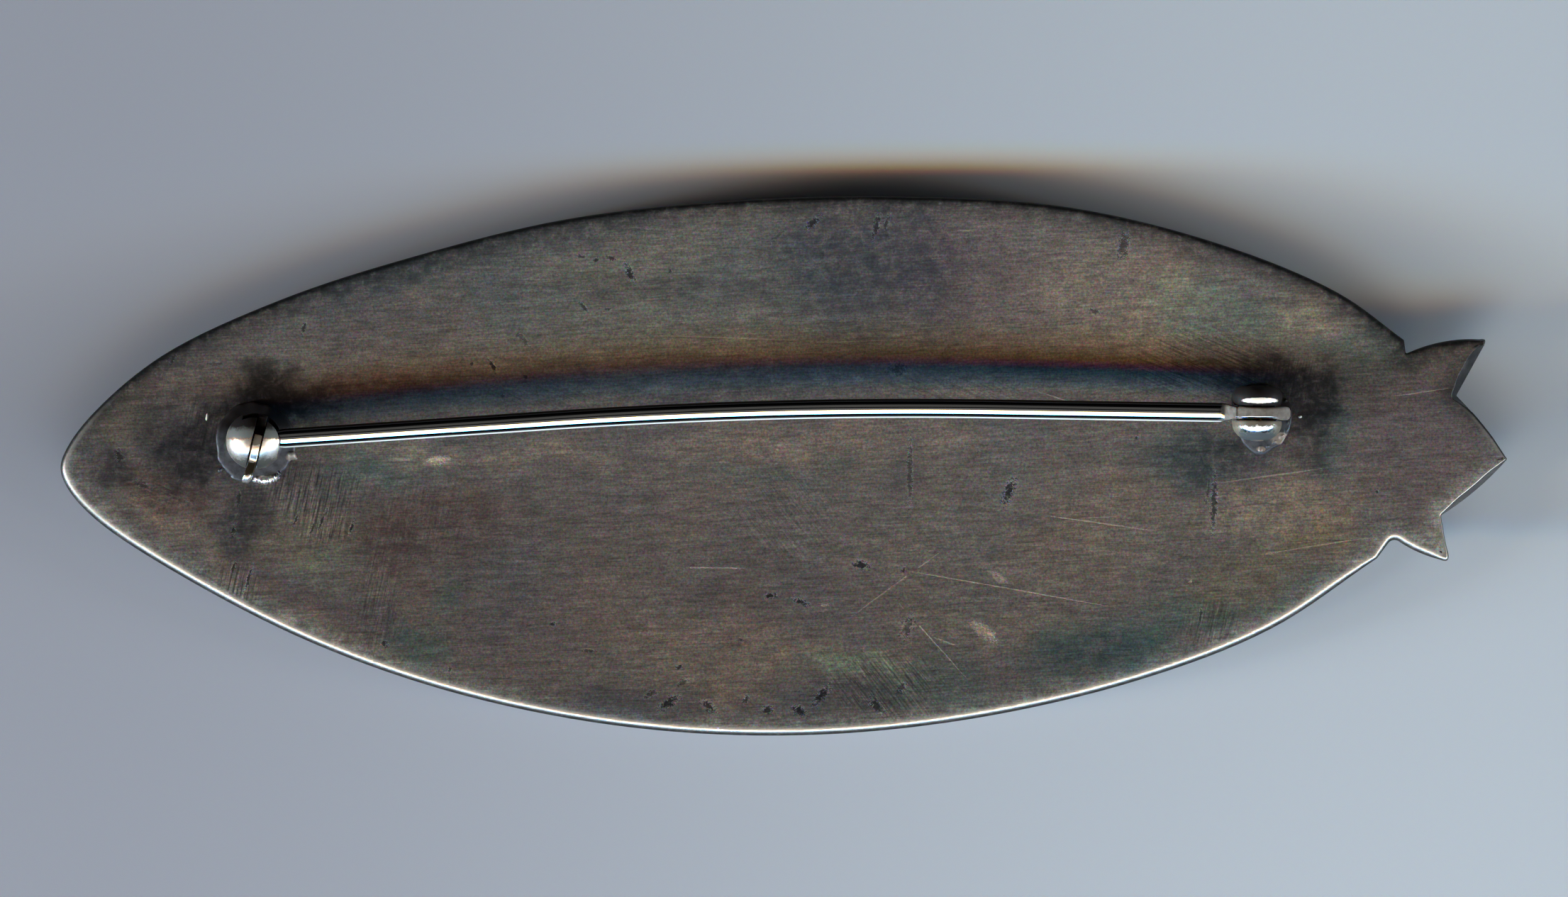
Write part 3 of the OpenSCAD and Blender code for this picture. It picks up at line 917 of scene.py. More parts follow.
def make_cheeks(material):
    """Two domed cheeks on one round foot, with a gap for the tongue and a hole for the rivet."""
    inner = CHEEK_GAP / 2
    uneven = 0.02
    uneven_size = 2.3
    made = carve(rod(NECK_R, NECK_LOW, NECK_HIGH), [
        *[("UNION", cheek(*row)) for row in CHEEKS],
        ("DIFFERENCE", block((-PAST, -inner, FOOT_UP - HINGE_UP), (PAST, inner, PAST))),
        ("DIFFERENCE", rod(RIVET_R + CHEEK_PLAY, -PAST, PAST, ALONG_Y, 48)),
    ], SOFT_EDGE)
    for v in made.verts:
        v.co += uneven * noise.noise_vector(v.co * uneven_size)
    bmesh.ops.transform(made, matrix=AT_HINGE, verts=made.verts)
    return finish_piece("hinge_cheeks", made, "brooch", material, sharp=50)


def make_rivet(material):
    """The rivet, with a low peened head at each end."""
    head_r = 0.42
    head_up = 0.07
    half = CHEEK_GAP / 2 + CHEEK_T
    dome = [
        (head_r * math.cos(math.radians(t)), half + head_up * math.sin(math.radians(t)))
        for t in range(0, 91, 15)
    ]
    profile = [(0, -half - head_up)]
    profile += [(x, -y) for x, y in dome[::-1]][1:]
    profile += [(RIVET_R, -half), (RIVET_R, half)]
    profile += dome[:-1]
    profile.append((0, half + head_up))
    bm = spun([(x, y, 0) for x, y in profile], (0, 1, 0), 40)
    bmesh.ops.transform(bm, matrix=AT_HINGE, verts=bm.verts)
    piece = finish_piece("rivet", bm, "brooch", material, sharp=50)
    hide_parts("hinge_rivet")
    return piece


# Solder round the catch, outwards. Columns: distance from the ball's middle, height above it
CATCH_PUDDLE = [
    (0, -1.0), (1.2, -1.05), (1.36, -1.4), (1.46, -1.62), (1.64, -1.69), (1.95, -1.7),
    (2.25, -1.72), (2.36, -1.76), (2.42, -1.88), (2.38, -2.2), (0, -2.2),
]

# Lumps of that solder: a ragged ridge along the lower right, two on the right, one on the left
# and two at the lower left. Columns: x, y, half length, half width, height, turn
CATCH_LUMPS = [
    (0.06, -2.28, 0.2, 0.09, 0.3, 84),
    (0.22, -2.32, 0.24, 0.08, 0.36, 90),
    (0.37, -2.38, 0.22, 0.09, 0.32, 96),
    (0.53, -2.36, 0.26, 0.08, 0.37, 93),
    (0.69, -2.36, 0.24, 0.09, 0.34, 88),
    (0.86, -2.32, 0.25, 0.09, 0.38, 98),
    (1.02, -2.26, 0.22, 0.08, 0.35, 104),
    (1.18, -2.2, 0.24, 0.09, 0.37, 108),
    (1.33, -2.1, 0.21, 0.1, 0.34, 116),
    (1.44, -1.96, 0.2, 0.1, 0.32, 126),
    (2.12, -0.85, 0.36, 0.26, 0.3, -35),
    (2.3, -1.0, 0.22, 0.12, 0.2, -20),
    (-2.88, 1.42, 0.24, 0.08, 0.12, 80),
    (-2.1, -1.75, 0.16, 0.12, 0.2, 40),
    (-1.0, -2.25, 0.5, 0.12, 0.2, -12),
]

# Solder round the hinge, outwards. Columns: distance from the rivet's middle, height above it
HINGE_PUDDLE = [
    (0, -2.28), (1.14, -2.28), (1.24, -1.9), (1.36, -2.1), (1.55, -2.16), (1.85, -2.17),
    (2.0, -2.2), (2.06, -2.3), (2.0, -2.65), (0, -2.65),
]

# Lobes of the hinge's puddle. Columns: turn, width in degrees, extra reach
HINGE_LOBES = [
    (-85, 24, 0.2),
    (-45, 26, 0.12),
    (-135, 30, -0.18),
    (180, 40, -0.22),
    (90, 50, -0.16),
    (5, 25, 0.04),
]

# Lumps of that solder: a ridge along the lower right, a drop at the right, and high ones that
# climb the cheeks. Columns: x, y, half length, half width, height, turn
HINGE_LUMPS = [
    (0.25, -2.15, 0.3, 0.2, 0.25, 80),
    (0.7, -1.98, 0.26, 0.12, 0.22, 30),
    (1.1, -1.72, 0.3, 0.12, 0.24, 34),
    (1.5, -1.38, 0.26, 0.14, 0.26, 40),
    (1.76, -1.1, 0.22, 0.13, 0.25, 70),
    (1.86, -0.6, 0.16, 0.1, 0.24, 90),
    (2.62, -0.22, 0.12, 0.09, 0.14, 0),
    (1.28, -0.62, 0.1, 0.08, 1.25, 0),
    (0.45, 1.6, 0.36, 0.1, 0.9, 0),
    (1.3, 0.9, 0.18, 0.12, 0.5, 20),
    (1.75, 0.75, 0.14, 0.1, 0.3, 20),
]


def puddle(profile, reach, at, seed):
    """Uneven ring of solder round a fitting. The profile runs outwards, and reach(turn) stretches it."""
    ripple_size = 1.6
    ripple_wide = 0.04
    ripple_high = 0.03
    level_wide = 0.8
    bm = spun([(r, 0, z) for r, z in profile], (0, 0, 1), 96)
    inner = profile[1][0]
    outer = max(r for r, z in profile)
    for v in bm.verts:
        r = math.hypot(v.co.x, v.co.y)
        if r < 0.01:
            continue
        turn = math.degrees(math.atan2(v.co.y, v.co.x))
        out = max(0, (r - inner) / (outer - inner))
        ripple = noise.noise(Vector((v.co.x, v.co.y, seed)) * ripple_size)
        wide = 1 + out * (reach(turn) - 1 + ripple_wide * ripple)
        v.co.x *= wide
        v.co.y *= wide
        v.co.z += ripple_high * out * ripple
    bmesh.ops.transform(bm, matrix=at, verts=bm.verts)
    centre = at.to_translation()
    level = back_height(centre.x, centre.y)
    for v in bm.verts:
        off = math.hypot(v.co.x - centre.x, v.co.y - centre.y) - inner
        v.co.z += min(1, max(0, off / level_wide)) * (back_height(v.co.x, v.co.y) - level)
    return bm


def add_lump(bm, centre, x, y, long, short, height, turn):
    """Small rounded lump of solder on the sheet, beside a fitting."""
    uneven = 0.15
    uneven_size = 1.7
    made = bmesh.ops.create_icosphere(bm, subdivisions=3, radius=1)["verts"]
    for v in made:
        v.co *= 1 + uneven * noise.noise(v.co * uneven_size + Vector((x, y, 0)) * 3)
    bmesh.ops.scale(bm, vec=(long, short, height), verts=made)
    turned = Matrix.Rotation(math.radians(turn), 3, "Z")
    bmesh.ops.rotate(bm, cent=(0, 0, 0), matrix=turned, verts=made)
    place = centre + Vector((x, y, 0))
    bmesh.ops.translate(bm, vec=(place.x, place.y, back_height(place.x, place.y)), verts=made)


def melted(bm, smoothing):
    """Melts overlapping shapes into one smooth skin."""
    body = plain_object(bm)
    melt = body.modifiers.new("melt", "REMESH")
    melt.mode = "VOXEL"
    melt.voxel_size = 0.035
    smooth = body.modifiers.new("smooth", "SMOOTH")
    smooth.factor = 0.5
    smooth.iterations = smoothing
    return applied(body)


def make_solder(name, at, profile, reach, seed, lumps, material):
    """A puddle of solder and its lumps, melted into one skin."""
    bm = puddle(profile, reach, at, seed)
    for row in lumps:
        add_lump(bm, at.to_translation(), *row)
    return finish_piece(name, melted(bm, 4), "brooch", material)


def catch_reach(turn):
    """Reach of the catch's puddle at a turn, a little further below and in three lobes."""
    return 1 + 0.04 * math.sin(math.radians(-turn)) + 0.02 * math.sin(math.radians(3 * turn + 40))


def hinge_reach(turn):
    """Reach of the hinge's puddle at a turn, from its lobes."""
    total = 1
    for middle, width, extra in HINGE_LOBES:
        away = (turn - middle + 180) % 360 - 180
        total += extra * math.exp(-(away / width) ** 2)
    return total


# Stem: radius of the wire, straight length from the rivet, radius and turn of the bend,
# straight length that follows it, length of the taper, and radius of the point
WIRE_R = 0.57
STEM_BACK = 15.5
STEM_BEND_R = 320.0
STEM_BEND = 4.75
STEM_FRONT = 15.8
TAPER = 2.3
TIP_R = 0.12

# Pitch of the stem, from the ball and the hinge that it runs through
STEM_PITCH = -math.atan2(HINGE_PLACE.z - BALL_PLACE.z, HINGE_PLACE.x - BALL_PLACE.x)


def stem_place(s):
    """Place and turn of the wire's middle at a length from the rivet towards the point."""
    if s <= STEM_BACK:
        return Matrix.Translation((-s, 0, 0))
    bent = min(s - STEM_BACK, math.radians(STEM_BEND) * STEM_BEND_R)
    turn = Matrix.Rotation(bent / STEM_BEND_R, 4, "Z")
    middle = Matrix.Translation((-STEM_BACK, -STEM_BEND_R, 0))
    return middle @ turn @ Matrix.Translation((-(s - STEM_BACK - bent), STEM_BEND_R, 0))


def stem_sections():
    """Sections of the stem from the tongue's end to the point.

    Each has its length from the rivet, half width, half height and squareness, which is 2 where
    the section is round and more where it is squarer.
    """
    first = -TONGUE_END + 0.015
    neck_start = 1.2
    neck_end = 2.15
    round_start = 2.35
    square = 6
    half = TONGUE_T / 2

    # The hammered tongue, an oval from the side, with a rounded end
    rows = []
    steps = 30
    for k in range(steps + 1):
        s = mix(first, neck_start, (k / steps) ** 1.6)
        inset = 0.3 * math.exp(-(s + TONGUE_END) / 0.07)
        wave = 0.05 * noise.noise(Vector((s * 1.6, 0, 4.2)))
        up = TONGUE_UP * math.sqrt(1 - (s / TONGUE_END) ** 2)
        rows.append((s, half - inset + wave, up, square))

    # The neck, where the oval eases into the round wire
    steps = 12
    for k in range(1, steps + 1):
        t = k / steps
        s = mix(neck_start, neck_end, t)
        oval = TONGUE_UP * math.sqrt(max(0, 1 - (s / TONGUE_END) ** 2))
        up = math.hypot(WIRE_R, max(0, oval - 0.1 * t))
        if t <= 0.4:
            up = max(up * 0.96, oval)
        up = mix(up, WIRE_R, fade(t * 1.2 - 0.2))
        rows.append((s, mix(half, WIRE_R, fade(t)), up, mix(square, 2, t)))
    rows.append((round_start, WIRE_R, WIRE_R, 2))

    # The wire, its taper and its rounded point
    bend_end = STEM_BACK + math.radians(STEM_BEND) * STEM_BEND_R
    shoulder = bend_end + STEM_FRONT
    steps = 28
    for k in range(1, steps + 1):
        rows.append((mix(round_start, bend_end, k / steps), WIRE_R, WIRE_R, 2))
    rows.append((shoulder, WIRE_R, WIRE_R, 2))
    steps = 10
    for k in range(1, steps + 1):
        t = k / steps
        r = mix(WIRE_R, TIP_R, t ** 1.25)
        rows.append((shoulder + TAPER * t, r, r, 2))
    for turn in (30, 60, 85):
        r = TIP_R * math.cos(math.radians(turn))
        rows.append((shoulder + TAPER + TIP_R * math.sin(math.radians(turn)), r, r, 2))
    return rows


def wire_outline(sides):
    """Outline of the wire, 1 in radius, worn a little flat towards the lower side and opposite.

    It starts at +Y and is walked round in fine steps, longer on the flats and shorter beside them.
    """
    flat_turn = 112.4
    flat_wide = 1.2
    flat = 8.6
    tight_off = 5.5
    tight_wide = 3
    tight = 0.85
    points = []
    here = Vector((0, 0))
    fine = 8
    for k in range(sides * fine):
        turn = 360 * k / (sides * fine)
        if k % fine == 0:
            points.append(here.copy())
        away = (turn - flat_turn + 90) % 180 - 90
        beside = math.exp(-((abs(away) - tight_off) / tight_wide) ** 2)
        step = 1 + flat * math.exp(-(away / flat_wide) ** 2) - tight * beside
        here += step * Vector((-math.sin(math.radians(turn)), math.cos(math.radians(turn))))
    middle = sum(points, Vector((0, 0))) / sides
    points = [p - middle for p in points]
    wide = max(p.x for p in points)
    high = max(p.y for p in points)
    return [Vector((p.x / wide, p.y / high)) for p in points]


def make_stem(material):
    """The pin wire, flattened to a tongue at the hinge and drawn to a point."""
    sides = 120
    hole_edge = 0.015
    tongue_reach = 2.3
    tongue_fade = 0.3
    outline = wire_outline(sides)
    bm = bmesh.new()
    line = list(bmesh.ops.create_circle(bm, segments=sides, radius=1)["verts"])
    first = line[:]
    for i, (s, wide, high, square) in enumerate(stem_sections()):
        if i:
            line = next_row(bm, line)
        at = stem_place(s)
        for k, v in enumerate(line):
            p = outline[k]
            y = abs(p.x) ** (2 / square) * math.copysign(wide, p.x)
            z = abs(p.y) ** (2 / square) * math.copysign(high, p.y)
            v.co = at @ Vector((0, y, z))
    bm.faces.new(first)
    bm.faces.new(line)
    hole = rod(RIVET_R + TONGUE_PLAY, -PAST, PAST, ALONG_Y, 48)
    bmesh.ops.recalc_face_normals(bm, faces=bm.faces)
    made = carve(bm, [("DIFFERENCE", hole)], hole_edge)
    dull_and_shade = made.verts.layers.float.new("dull_and_shade")
    painted_streak = made.verts.layers.float.new("painted_streak")
    made.normal_update()

    # Dull hammered tongue, away from its polished lower edge, and painted shade on the wire's upper
    # side.
    # Along its lower side a painted dark reflection lies below the worn flat, and a painted pale
    # reflection below that. Turns run from the wire's top towards its lower side.
    for v in made.verts:
        polished = fade((-v.normal.y - 0.15) / 0.15) * fade((0.45 - abs(v.normal.x)) / 0.2)
        tongue = fade((tongue_reach + v.co.x) / tongue_fade)
        turn = math.degrees(math.atan2(-v.normal.y, v.normal.z))
        dark_line = 0.93 * (1 - tongue) * fade((turn - 30) / 4) * fade((60 - turn) / 4)
        v[dull_and_shade] = max(fade(3 * (v.normal.y - 0.25)), dark_line, tongue * (1 - polished))
        v[painted_streak] = (1 - tongue) * fade((turn - 57) / 4) * fade((90 - turn) / 6)
    at = AT_HINGE @ Matrix.Rotation(STEM_PITCH, 4, "Y")
    bmesh.ops.transform(made, matrix=at, verts=made.verts)
    piece = finish_piece("pin_wire", made, "stem", material, sharp=50)
    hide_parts("pin_stem")
    return piece


# Materials

def start_material(name):
    """A new material, with its nodes and its shader."""
    material = bpy.data.materials.new(name)
    material.use_nodes = True
    return material, material.node_tree, material.node_tree.nodes["Principled BSDF"]


def add(tree, kind, inputs, **settings):
    """Adds a node, and feeds its inputs with numbers, vectors or other nodes' outputs."""
    made = tree.nodes.new("ShaderNode" + kind)
    for name, value in settings.items():
        setattr(made, name, value)
    for key, value in inputs.items():
        if isinstance(value, bpy.types.NodeSocket):
            tree.links.new(value, made.inputs[key])
        else:
            made.inputs[key].default_value = value
    return made


def maths(tree, operation, a, b=0.0):
    """Result of a sum on one or two numbers."""
    return add(tree, "Math", {0: a, 1: b}, operation=operation).outputs[0]


def vector_maths(tree, operation, a, b=(0, 0, 0), output=0):
    """Result of a sum on one or two vectors. A length or a distance is at output 1."""
    return add(tree, "VectorMath", {0: a, 1: b}, operation=operation).outputs[output]


def mixed(tree, share, a, b, mode="MIX"):
    """Colour at a share of the way from a to b."""
    return add(tree, "Mix", {0: share, 6: a, 7: b}, data_type="RGBA", blend_type=mode).outputs[2]


def times(tree, colour, tint):
    """Colour multiplied by a tint."""
    return mixed(tree, 1.0, colour, tint, "MULTIPLY")


def blended(tree, share, a, b):
    """Number at a share of the way from a to b."""
    return add(tree, "Mix", {0: share, 2: a, 3: b}, data_type="FLOAT").outputs[0]


def remap(tree, value, low, high, to_low, to_high, kind="LINEAR"):
    """Number carried over from one range to another, and held within it."""
    inputs = {"Value": value, "From Min": low, "From Max": high, "To Min": to_low, "To Max": to_high}
    return add(tree, "MapRange", inputs, interpolation_type=kind).outputs[0]


def millimetres(tree):
    """Place on the piece in millimetres."""
    place = add(tree, "TexCoord", {}).outputs["Object"]
    return add(tree, "VectorMath", {0: place, "Scale": 1 / MM}, operation="SCALE").outputs[0]


def attribute(tree, name, output):
    """What is stored on the piece's vertices or corners under a name."""
    return add(tree, "Attribute", {}, attribute_name=name).outputs[output]


def stretched(tree, place, scale, turn=0):
    """Coordinates that are turned and then scaled by a different amount each way."""
    turned = add(tree, "Mapping", {"Vector": place, "Rotation": (0, 0, math.radians(-turn))})
    return add(tree, "Mapping", {"Vector": turned.outputs[0], "Scale": scale}).outputs[0]


def cloudy(tree, place, scale, detail=3.0, roughness=0.5, swirl=0.0):
    """Noise from 0 to 1, with its scale in turns for each millimetre."""
    inputs = {
        "Vector": place, "Scale": scale, "Detail": detail, "Roughness": roughness, "Distortion": swirl
    }
    return add(tree, "TexNoise", inputs).outputs[0]


def tarnished_silver():
    """Satin sheet with coloured tarnish, brushed lines, dents and scratches."""
    material, tree, shader = start_material("tarnished_silver")
    place = millimetres(tree)

    # Clouds of tarnish, from large to small
    brown = (0.118, 0.095, 0.083, 1)
    grey = (0.094, 0.086, 0.084, 1)
    broad = cloudy(tree, place, 0.12, 5.0, 0.65)
    mottled = cloudy(tree, place, 0.7, 6.0, 0.65)
    grain = cloudy(tree, place, 6.0, 4.0, 0.75)
    colour = mixed(tree, remap(tree, broad, 0.35, 0.65, 0, 1), brown, grey)
    # Patches of tarnish and of painted shade and shadow, stored on the vertices
    stain_and_shade = attribute(tree, "stain_and_shade", "Color")
    blotches = cloudy(tree, place, 1.5, 6.0, 0.7, 0.5)
    uneven = remap(tree, blotches, 0.36, 0.64, 0.35, 1.6)
    stain_and_shade = add(tree, "Gamma", {0: stain_and_shade, 1: uneven}).outputs[0]
    colour = times(tree, colour, stain_and_shade)

    # Brushed lines along the fish
    coarse_lines = cloudy(tree, stretched(tree, place, (0.35, 3.0, 1), 1.5), 1.0, 4.0, 0.7, 0.4)
    fine_lines = cloudy(tree, stretched(tree, place, (0.8, 10.0, 1), 3.0), 1.0, 3.0, 0.7, 0.3)
    light = remap(tree, mottled, 0.25, 0.75, 0.74, 1.26)
    light = maths(tree, "MULTIPLY", light, remap(tree, coarse_lines, 0.25, 0.75, 0.66, 1.34))
    light = maths(tree, "MULTIPLY", light, remap(tree, fine_lines, 0.25, 0.75, 0.6, 1.4))
    light = maths(tree, "MULTIPLY", light, remap(tree, grain, 0.25, 0.75, 0.5, 1.5))
    colour = times(tree, colour, light)

    # Fine coloured specks
    specks = add(tree, "TexNoise", {"Vector": place, "Scale": 8.0, "Detail": 3.0, "Roughness": 0.7})
    stronger = {0: specks.outputs["Color"], 1: (2.6, 2.6, 2.6), 2: (-0.3, -0.3, -0.3)}
    specks = add(tree, "VectorMath", stronger, operation="MULTIPLY_ADD").outputs[0]
    colour = times(tree, colour, specks)

    # Groups of slanted scratches, dark with bright ones between them
    scratch_dark = (0.2, 0.2, 0.23, 1)
    scratch_bright = (2.6, 2.45, 2.2, 1)
    groups = add(tree, "SeparateXYZ", {0: attribute(tree, "hatch", "Vector")})
    for i, turn in enumerate(HATCH_TURNS):
        lines = cloudy(tree, stretched(tree, place, (0.5, 9.0, 1), turn), 1.0, 2.0, 0.6)
        inside = groups.outputs[i]
        dark = maths(tree, "MULTIPLY", inside, remap(tree, lines, 0.53, 0.61, 0, 0.85))
        bright = maths(tree, "MULTIPLY", inside, remap(tree, lines, 0.45, 0.37, 0, 0.55))
        colour = mixed(tree, dark, colour, scratch_dark, "MULTIPLY")
        colour = mixed(tree, bright, colour, scratch_bright, "MULTIPLY")

    # Dents, pits and single scratches, each an ellipse with an uneven rim
    mark = vector_maths(tree, "LENGTH", attribute(tree, "mark_place", "Vector"), output=1)
    ragged = remap(tree, grain, 0.25, 0.75, -0.75, 0.75)
    inside = remap(tree, maths(tree, "ADD", mark, ragged), 1.0, 0.45, 0, 1)
    inside = maths(tree, "MULTIPLY", inside, attribute(tree, "mark_tint", "Alpha"))
    marked = times(tree, colour, attribute(tree, "mark_tint", "Color"))
    colour = mixed(tree, inside, colour, marked)

    # Bare, worn metal round the rim and on the front
    silver = (0.74, 0.71, 0.66, 1)
    worn = maths(tree, "MULTIPLY", attribute(tree, "bare", "Fac"), remap(tree, grain, 0.3, 0.7, 0.8, 1))
    satin = remap(tree, mottled, 0.25, 0.75, 0.56, 0.46)
    tree.links.new(mixed(tree, worn, colour, silver), shader.inputs["Base Color"])
    tree.links.new(blended(tree, worn, satin, 0.22), shader.inputs["Roughness"])
    tree.links.new(blended(tree, worn, 0.5, 1.0), shader.inputs["Metallic"])

    # Brushed lines and marks in low relief
    height = maths(tree, "ADD", fine_lines, maths(tree, "MULTIPLY", coarse_lines, 0.5))
    height = maths(tree, "SUBTRACT", height, maths(tree, "MULTIPLY", inside, 2.0))
    bump = add(tree, "Bump", {"Height": height, "Strength": 0.6, "Distance": 0.00002})
    tree.links.new(bump.outputs[0], shader.inputs["Normal"])
    return material


def bright_silver(name, colour, rough, dull, middle, layers, dry=0.0):
    """Polished silver with thin grey tarnish in clouds, and painted shade, partly tarnish, inside the
    fittings.

    Each layer is painted over the ones before it, and is measured from a fitting's middle, as seen
    from above. An up layer has a start, an end and its paint, by the distance towards the upper
    side. A side layer has the same, by the distance to the left or right. A spot is an ellipse:
    x, y, half length, half width and its paint. A paint is a colour and how matt it is; most paints
    are painted shade, painted highlights and painted reflections. The silver under them is as matt
    as dry says, and the clouds cover at most the share that dull says.
    """
    inner_shade = (0.02, 0.018, 0.018, 1)
    matt_rough = 0.55
    material, tree, shader = start_material(name)
    place = millimetres(tree)
    clouds = cloudy(tree, place, 2.0, 5.0, 0.65)
    fine = cloudy(tree, place, 8.0, 3.0, 0.6)
    tarnish = remap(tree, clouds, 0.35, 0.65, 0, dull)
    dark = tuple(c * 0.35 for c in colour[:3]) + (1,)
    tone = mixed(tree, tarnish, colour, dark)
    # Painted shade, partly tarnish, inside the catch and the hinge, darkest near their middles
    for centre, depth in ((BALL_PLACE, LEAF_R - 0.06), (HINGE_PLACE, CHEEK_R - 0.3)):
        away = vector_maths(tree, "DISTANCE", place, centre, output=1)
        tone = mixed(tree, remap(tree, away, depth, depth - 0.3, 0, 0.93), tone, inner_shade)
    from_middle = vector_maths(tree, "SUBTRACT", place, middle)
    sides = add(tree, "SeparateXYZ", {0: from_middle})
    ragged = remap(tree, cloudy(tree, place, 3.0, 5.0, 0.75), 0.3, 0.7, -0.14, 0.14)
    up = maths(tree, "ADD", sides.outputs[1], ragged)
    beside = maths(tree, "ADD", maths(tree, "ABSOLUTE", sides.outputs[0]), ragged)
    matt = dry
    for kind, *numbers, (shade, drier) in layers:
        if kind == "spot":
            x, y, long, wide = numbers
            off = vector_maths(tree, "SUBTRACT", from_middle, (x, y, 0))
            off = vector_maths(tree, "MULTIPLY", off, (1 / long, 1 / wide, 0))
            off = vector_maths(tree, "LENGTH", off, output=1)
            share = remap(tree, maths(tree, "ADD", off, ragged), 1.0, 0.75, 0, 1)
        else:
            share = remap(tree, up if kind == "up" else beside, *numbers, 0, 1)
        tone = mixed(tree, share, tone, (*shade, 1))
        matt = blended(tree, share, matt, drier)
    tree.links.new(tone, shader.inputs["Base Color"])
    satin = remap(tree, fine, 0.3, 0.7, rough, rough + 0.1)
    tree.links.new(blended(tree, matt, satin, matt_rough), shader.inputs["Roughness"])
    tree.links.new(maths(tree, "SUBTRACT", 1.0, matt), shader.inputs["Metallic"])
    shader.inputs["Specular IOR Level"].default_value = 0.08
    bump = add(tree, "Bump", {"Height": fine, "Strength": 0.3, "Distance": 0.00001})
    tree.links.new(bump.outputs[0], shader.inputs["Normal"])
    return material


def wire_silver():
    """Bright drawn wire, with a dull hammered tongue at the hinge end, painted shade on its upper side,
    and a painted dark and a painted pale reflection along its lower side.
    """
    silver = (0.93, 0.92, 0.9, 1)
    shade_dark = (0.04, 0.036, 0.034, 1)
    pale = (0.7, 0.7, 0.68, 1)
    hammered_low = (0.11, 0.095, 0.082, 1)
    hammered_high = (0.17, 0.152, 0.135, 1)
    bright_rough = 0.09
    matt_rough = 0.55
    material, tree, shader = start_material("stem_wire")
    place = millimetres(tree)
    x = add(tree, "SeparateXYZ", {0: place}).outputs[0]
    tongue = remap(tree, x, HINGE_PLACE.x - 2.2, HINGE_PLACE.x - 1.8, 0, 1)
    drawn = cloudy(tree, stretched(tree, place, (0.15, 9, 9)), 1.0, 2.0)
    hammered = cloudy(tree, place, 3.0, 4.0, 0.6)
    bright = remap(tree, drawn, 0.3, 0.7, 0.82, 0.95)
    colour = times(tree, silver, bright)
    dull = mixed(tree, remap(tree, hammered, 0.35, 0.65, 0, 1), hammered_low, hammered_high)
    # Dull tongue, painted shade on the wire's upper side and a painted dark reflection below the worn
    # flat
    dull_and_shade = attribute(tree, "dull_and_shade", "Fac")
    matt = maths(tree, "MULTIPLY", tongue, dull_and_shade)
    colour = mixed(tree, dull_and_shade, colour, shade_dark)
    # Painted pale reflection along the wire's lower side
    painted_streak = attribute(tree, "painted_streak", "Fac")
    colour = mixed(tree, painted_streak, mixed(tree, matt, colour, dull), pale)
    tree.links.new(colour, shader.inputs["Base Color"])
    matt = maths(tree, "MAXIMUM", matt, maths(tree, "MULTIPLY", painted_streak, 0.9))
    tree.links.new(blended(tree, matt, bright_rough, matt_rough), shader.inputs["Roughness"])
    tree.links.new(maths(tree, "SUBTRACT", 1.0, matt), shader.inputs["Metallic"])
    shader.inputs["Specular IOR Level"].default_value = 0.08
    return material


# Stage

def add_floor():
    """Pale floor, with light and shade painted in: a little darker at the nose than at the tail, and a
    little lighter below.
    """
    at_nose = (0.24, 0.25, 0.292, 1)
    at_tail = (0.38, 0.415, 0.465, 1)
    bm = bmesh.new()
    bmesh.ops.create_grid(bm, x_segments=1, y_segments=1, size=4.0)
    mesh = bpy.data.meshes.new("floor")
    bm.to_mesh(mesh)
    bm.free()
    floor = bpy.data.objects.new("floor", mesh)
    bpy.context.scene.collection.objects.link(floor)
    material, tree, shader = start_material("floor")
    sides = add(tree, "SeparateXYZ", {0: millimetres(tree)})
    across = remap(tree, sides.outputs[0], -50, 50, 0, 1, "SMOOTHSTEP")
    colour = mixed(tree, across, at_nose, at_tail)
    below = remap(tree, sides.outputs[1], 5, -25, 1, 1.1)
    tree.links.new(times(tree, colour, below), shader.inputs["Base Color"])
    shader.inputs["Roughness"].default_value = 0.9
    shader.inputs["Specular IOR Level"].default_value = 0.1
    mesh.materials.append(material)


# Distance of the lamps in metres
LAMP_AWAY = 0.6

# Long soft lamps over the lower side, as turns from straight overhead.
# Columns: name, colour, nearest turn, furthest turn, brightness
LAMPS = [
    ("lamp_warm", (1.0, 0.03, 0.0), 32, 50, 4.3),
    ("lamp_middle", (0.03, 1.0, 0.03), 36, 54.5, 4.6),
    ("lamp_cool", (0.0, 0.03, 1.0), 40, 58.5, 5.2),
]

# Weak lamps that fill the shadows, with the same columns, and half their length in metres
FILL_LAMPS = [
    ("lamp_wide", (1.0, 1.0, 1.0), 4, 64, 0.12),
    ("lamp_back", (1.0, 0.97, 0.92), -42, -12, 0.06),
]
FILL_HALF = 1.5

# Parts of each lamp, brighter towards the ends. Columns: from x, to x in metres, share of the brightness
LAMP_PARTS = [
    (-1.0, 1.0, 1.0),
    (-1.8, -0.9, 10.0),
    (-4.5, -1.8, 60.0),
    (0.9, 1.8, 5.0),
    (1.8, 4.5, 30.0),
]


def add_lamp(name, colour, near, far, bright, start, end):
    """Lamp along the brooch, facing it between two turns from straight overhead."""
    turn = math.radians((near + far) / 2)
    wide = 2 * LAMP_AWAY * math.tan(math.radians(far - near) / 2)
    light = bpy.data.lights.new(name, "AREA")
    light.shape = "RECTANGLE"
    light.size = end - start
    light.size_y = wide
    light.color = colour
    light.energy = bright * math.pi * light.size * wide
    lamp = bpy.data.objects.new(name, light)
    lamp.location = ((start + end) / 2, -LAMP_AWAY * math.sin(turn), LAMP_AWAY * math.cos(turn))
    lamp.rotation_euler = (turn, 0, 0)
    lamp.visible_camera = False
    bpy.context.scene.collection.objects.link(lamp)


def add_lamps():
    """The three tinted lamps, which add up to white, and the two that fill."""
    for name, colour, near, far, bright in LAMPS:
        for start, end, share in LAMP_PARTS:
            add_lamp(name, colour, near, far, bright * share, start, end)
    for row in FILL_LAMPS:
        add_lamp(*row, -FILL_HALF, FILL_HALF)


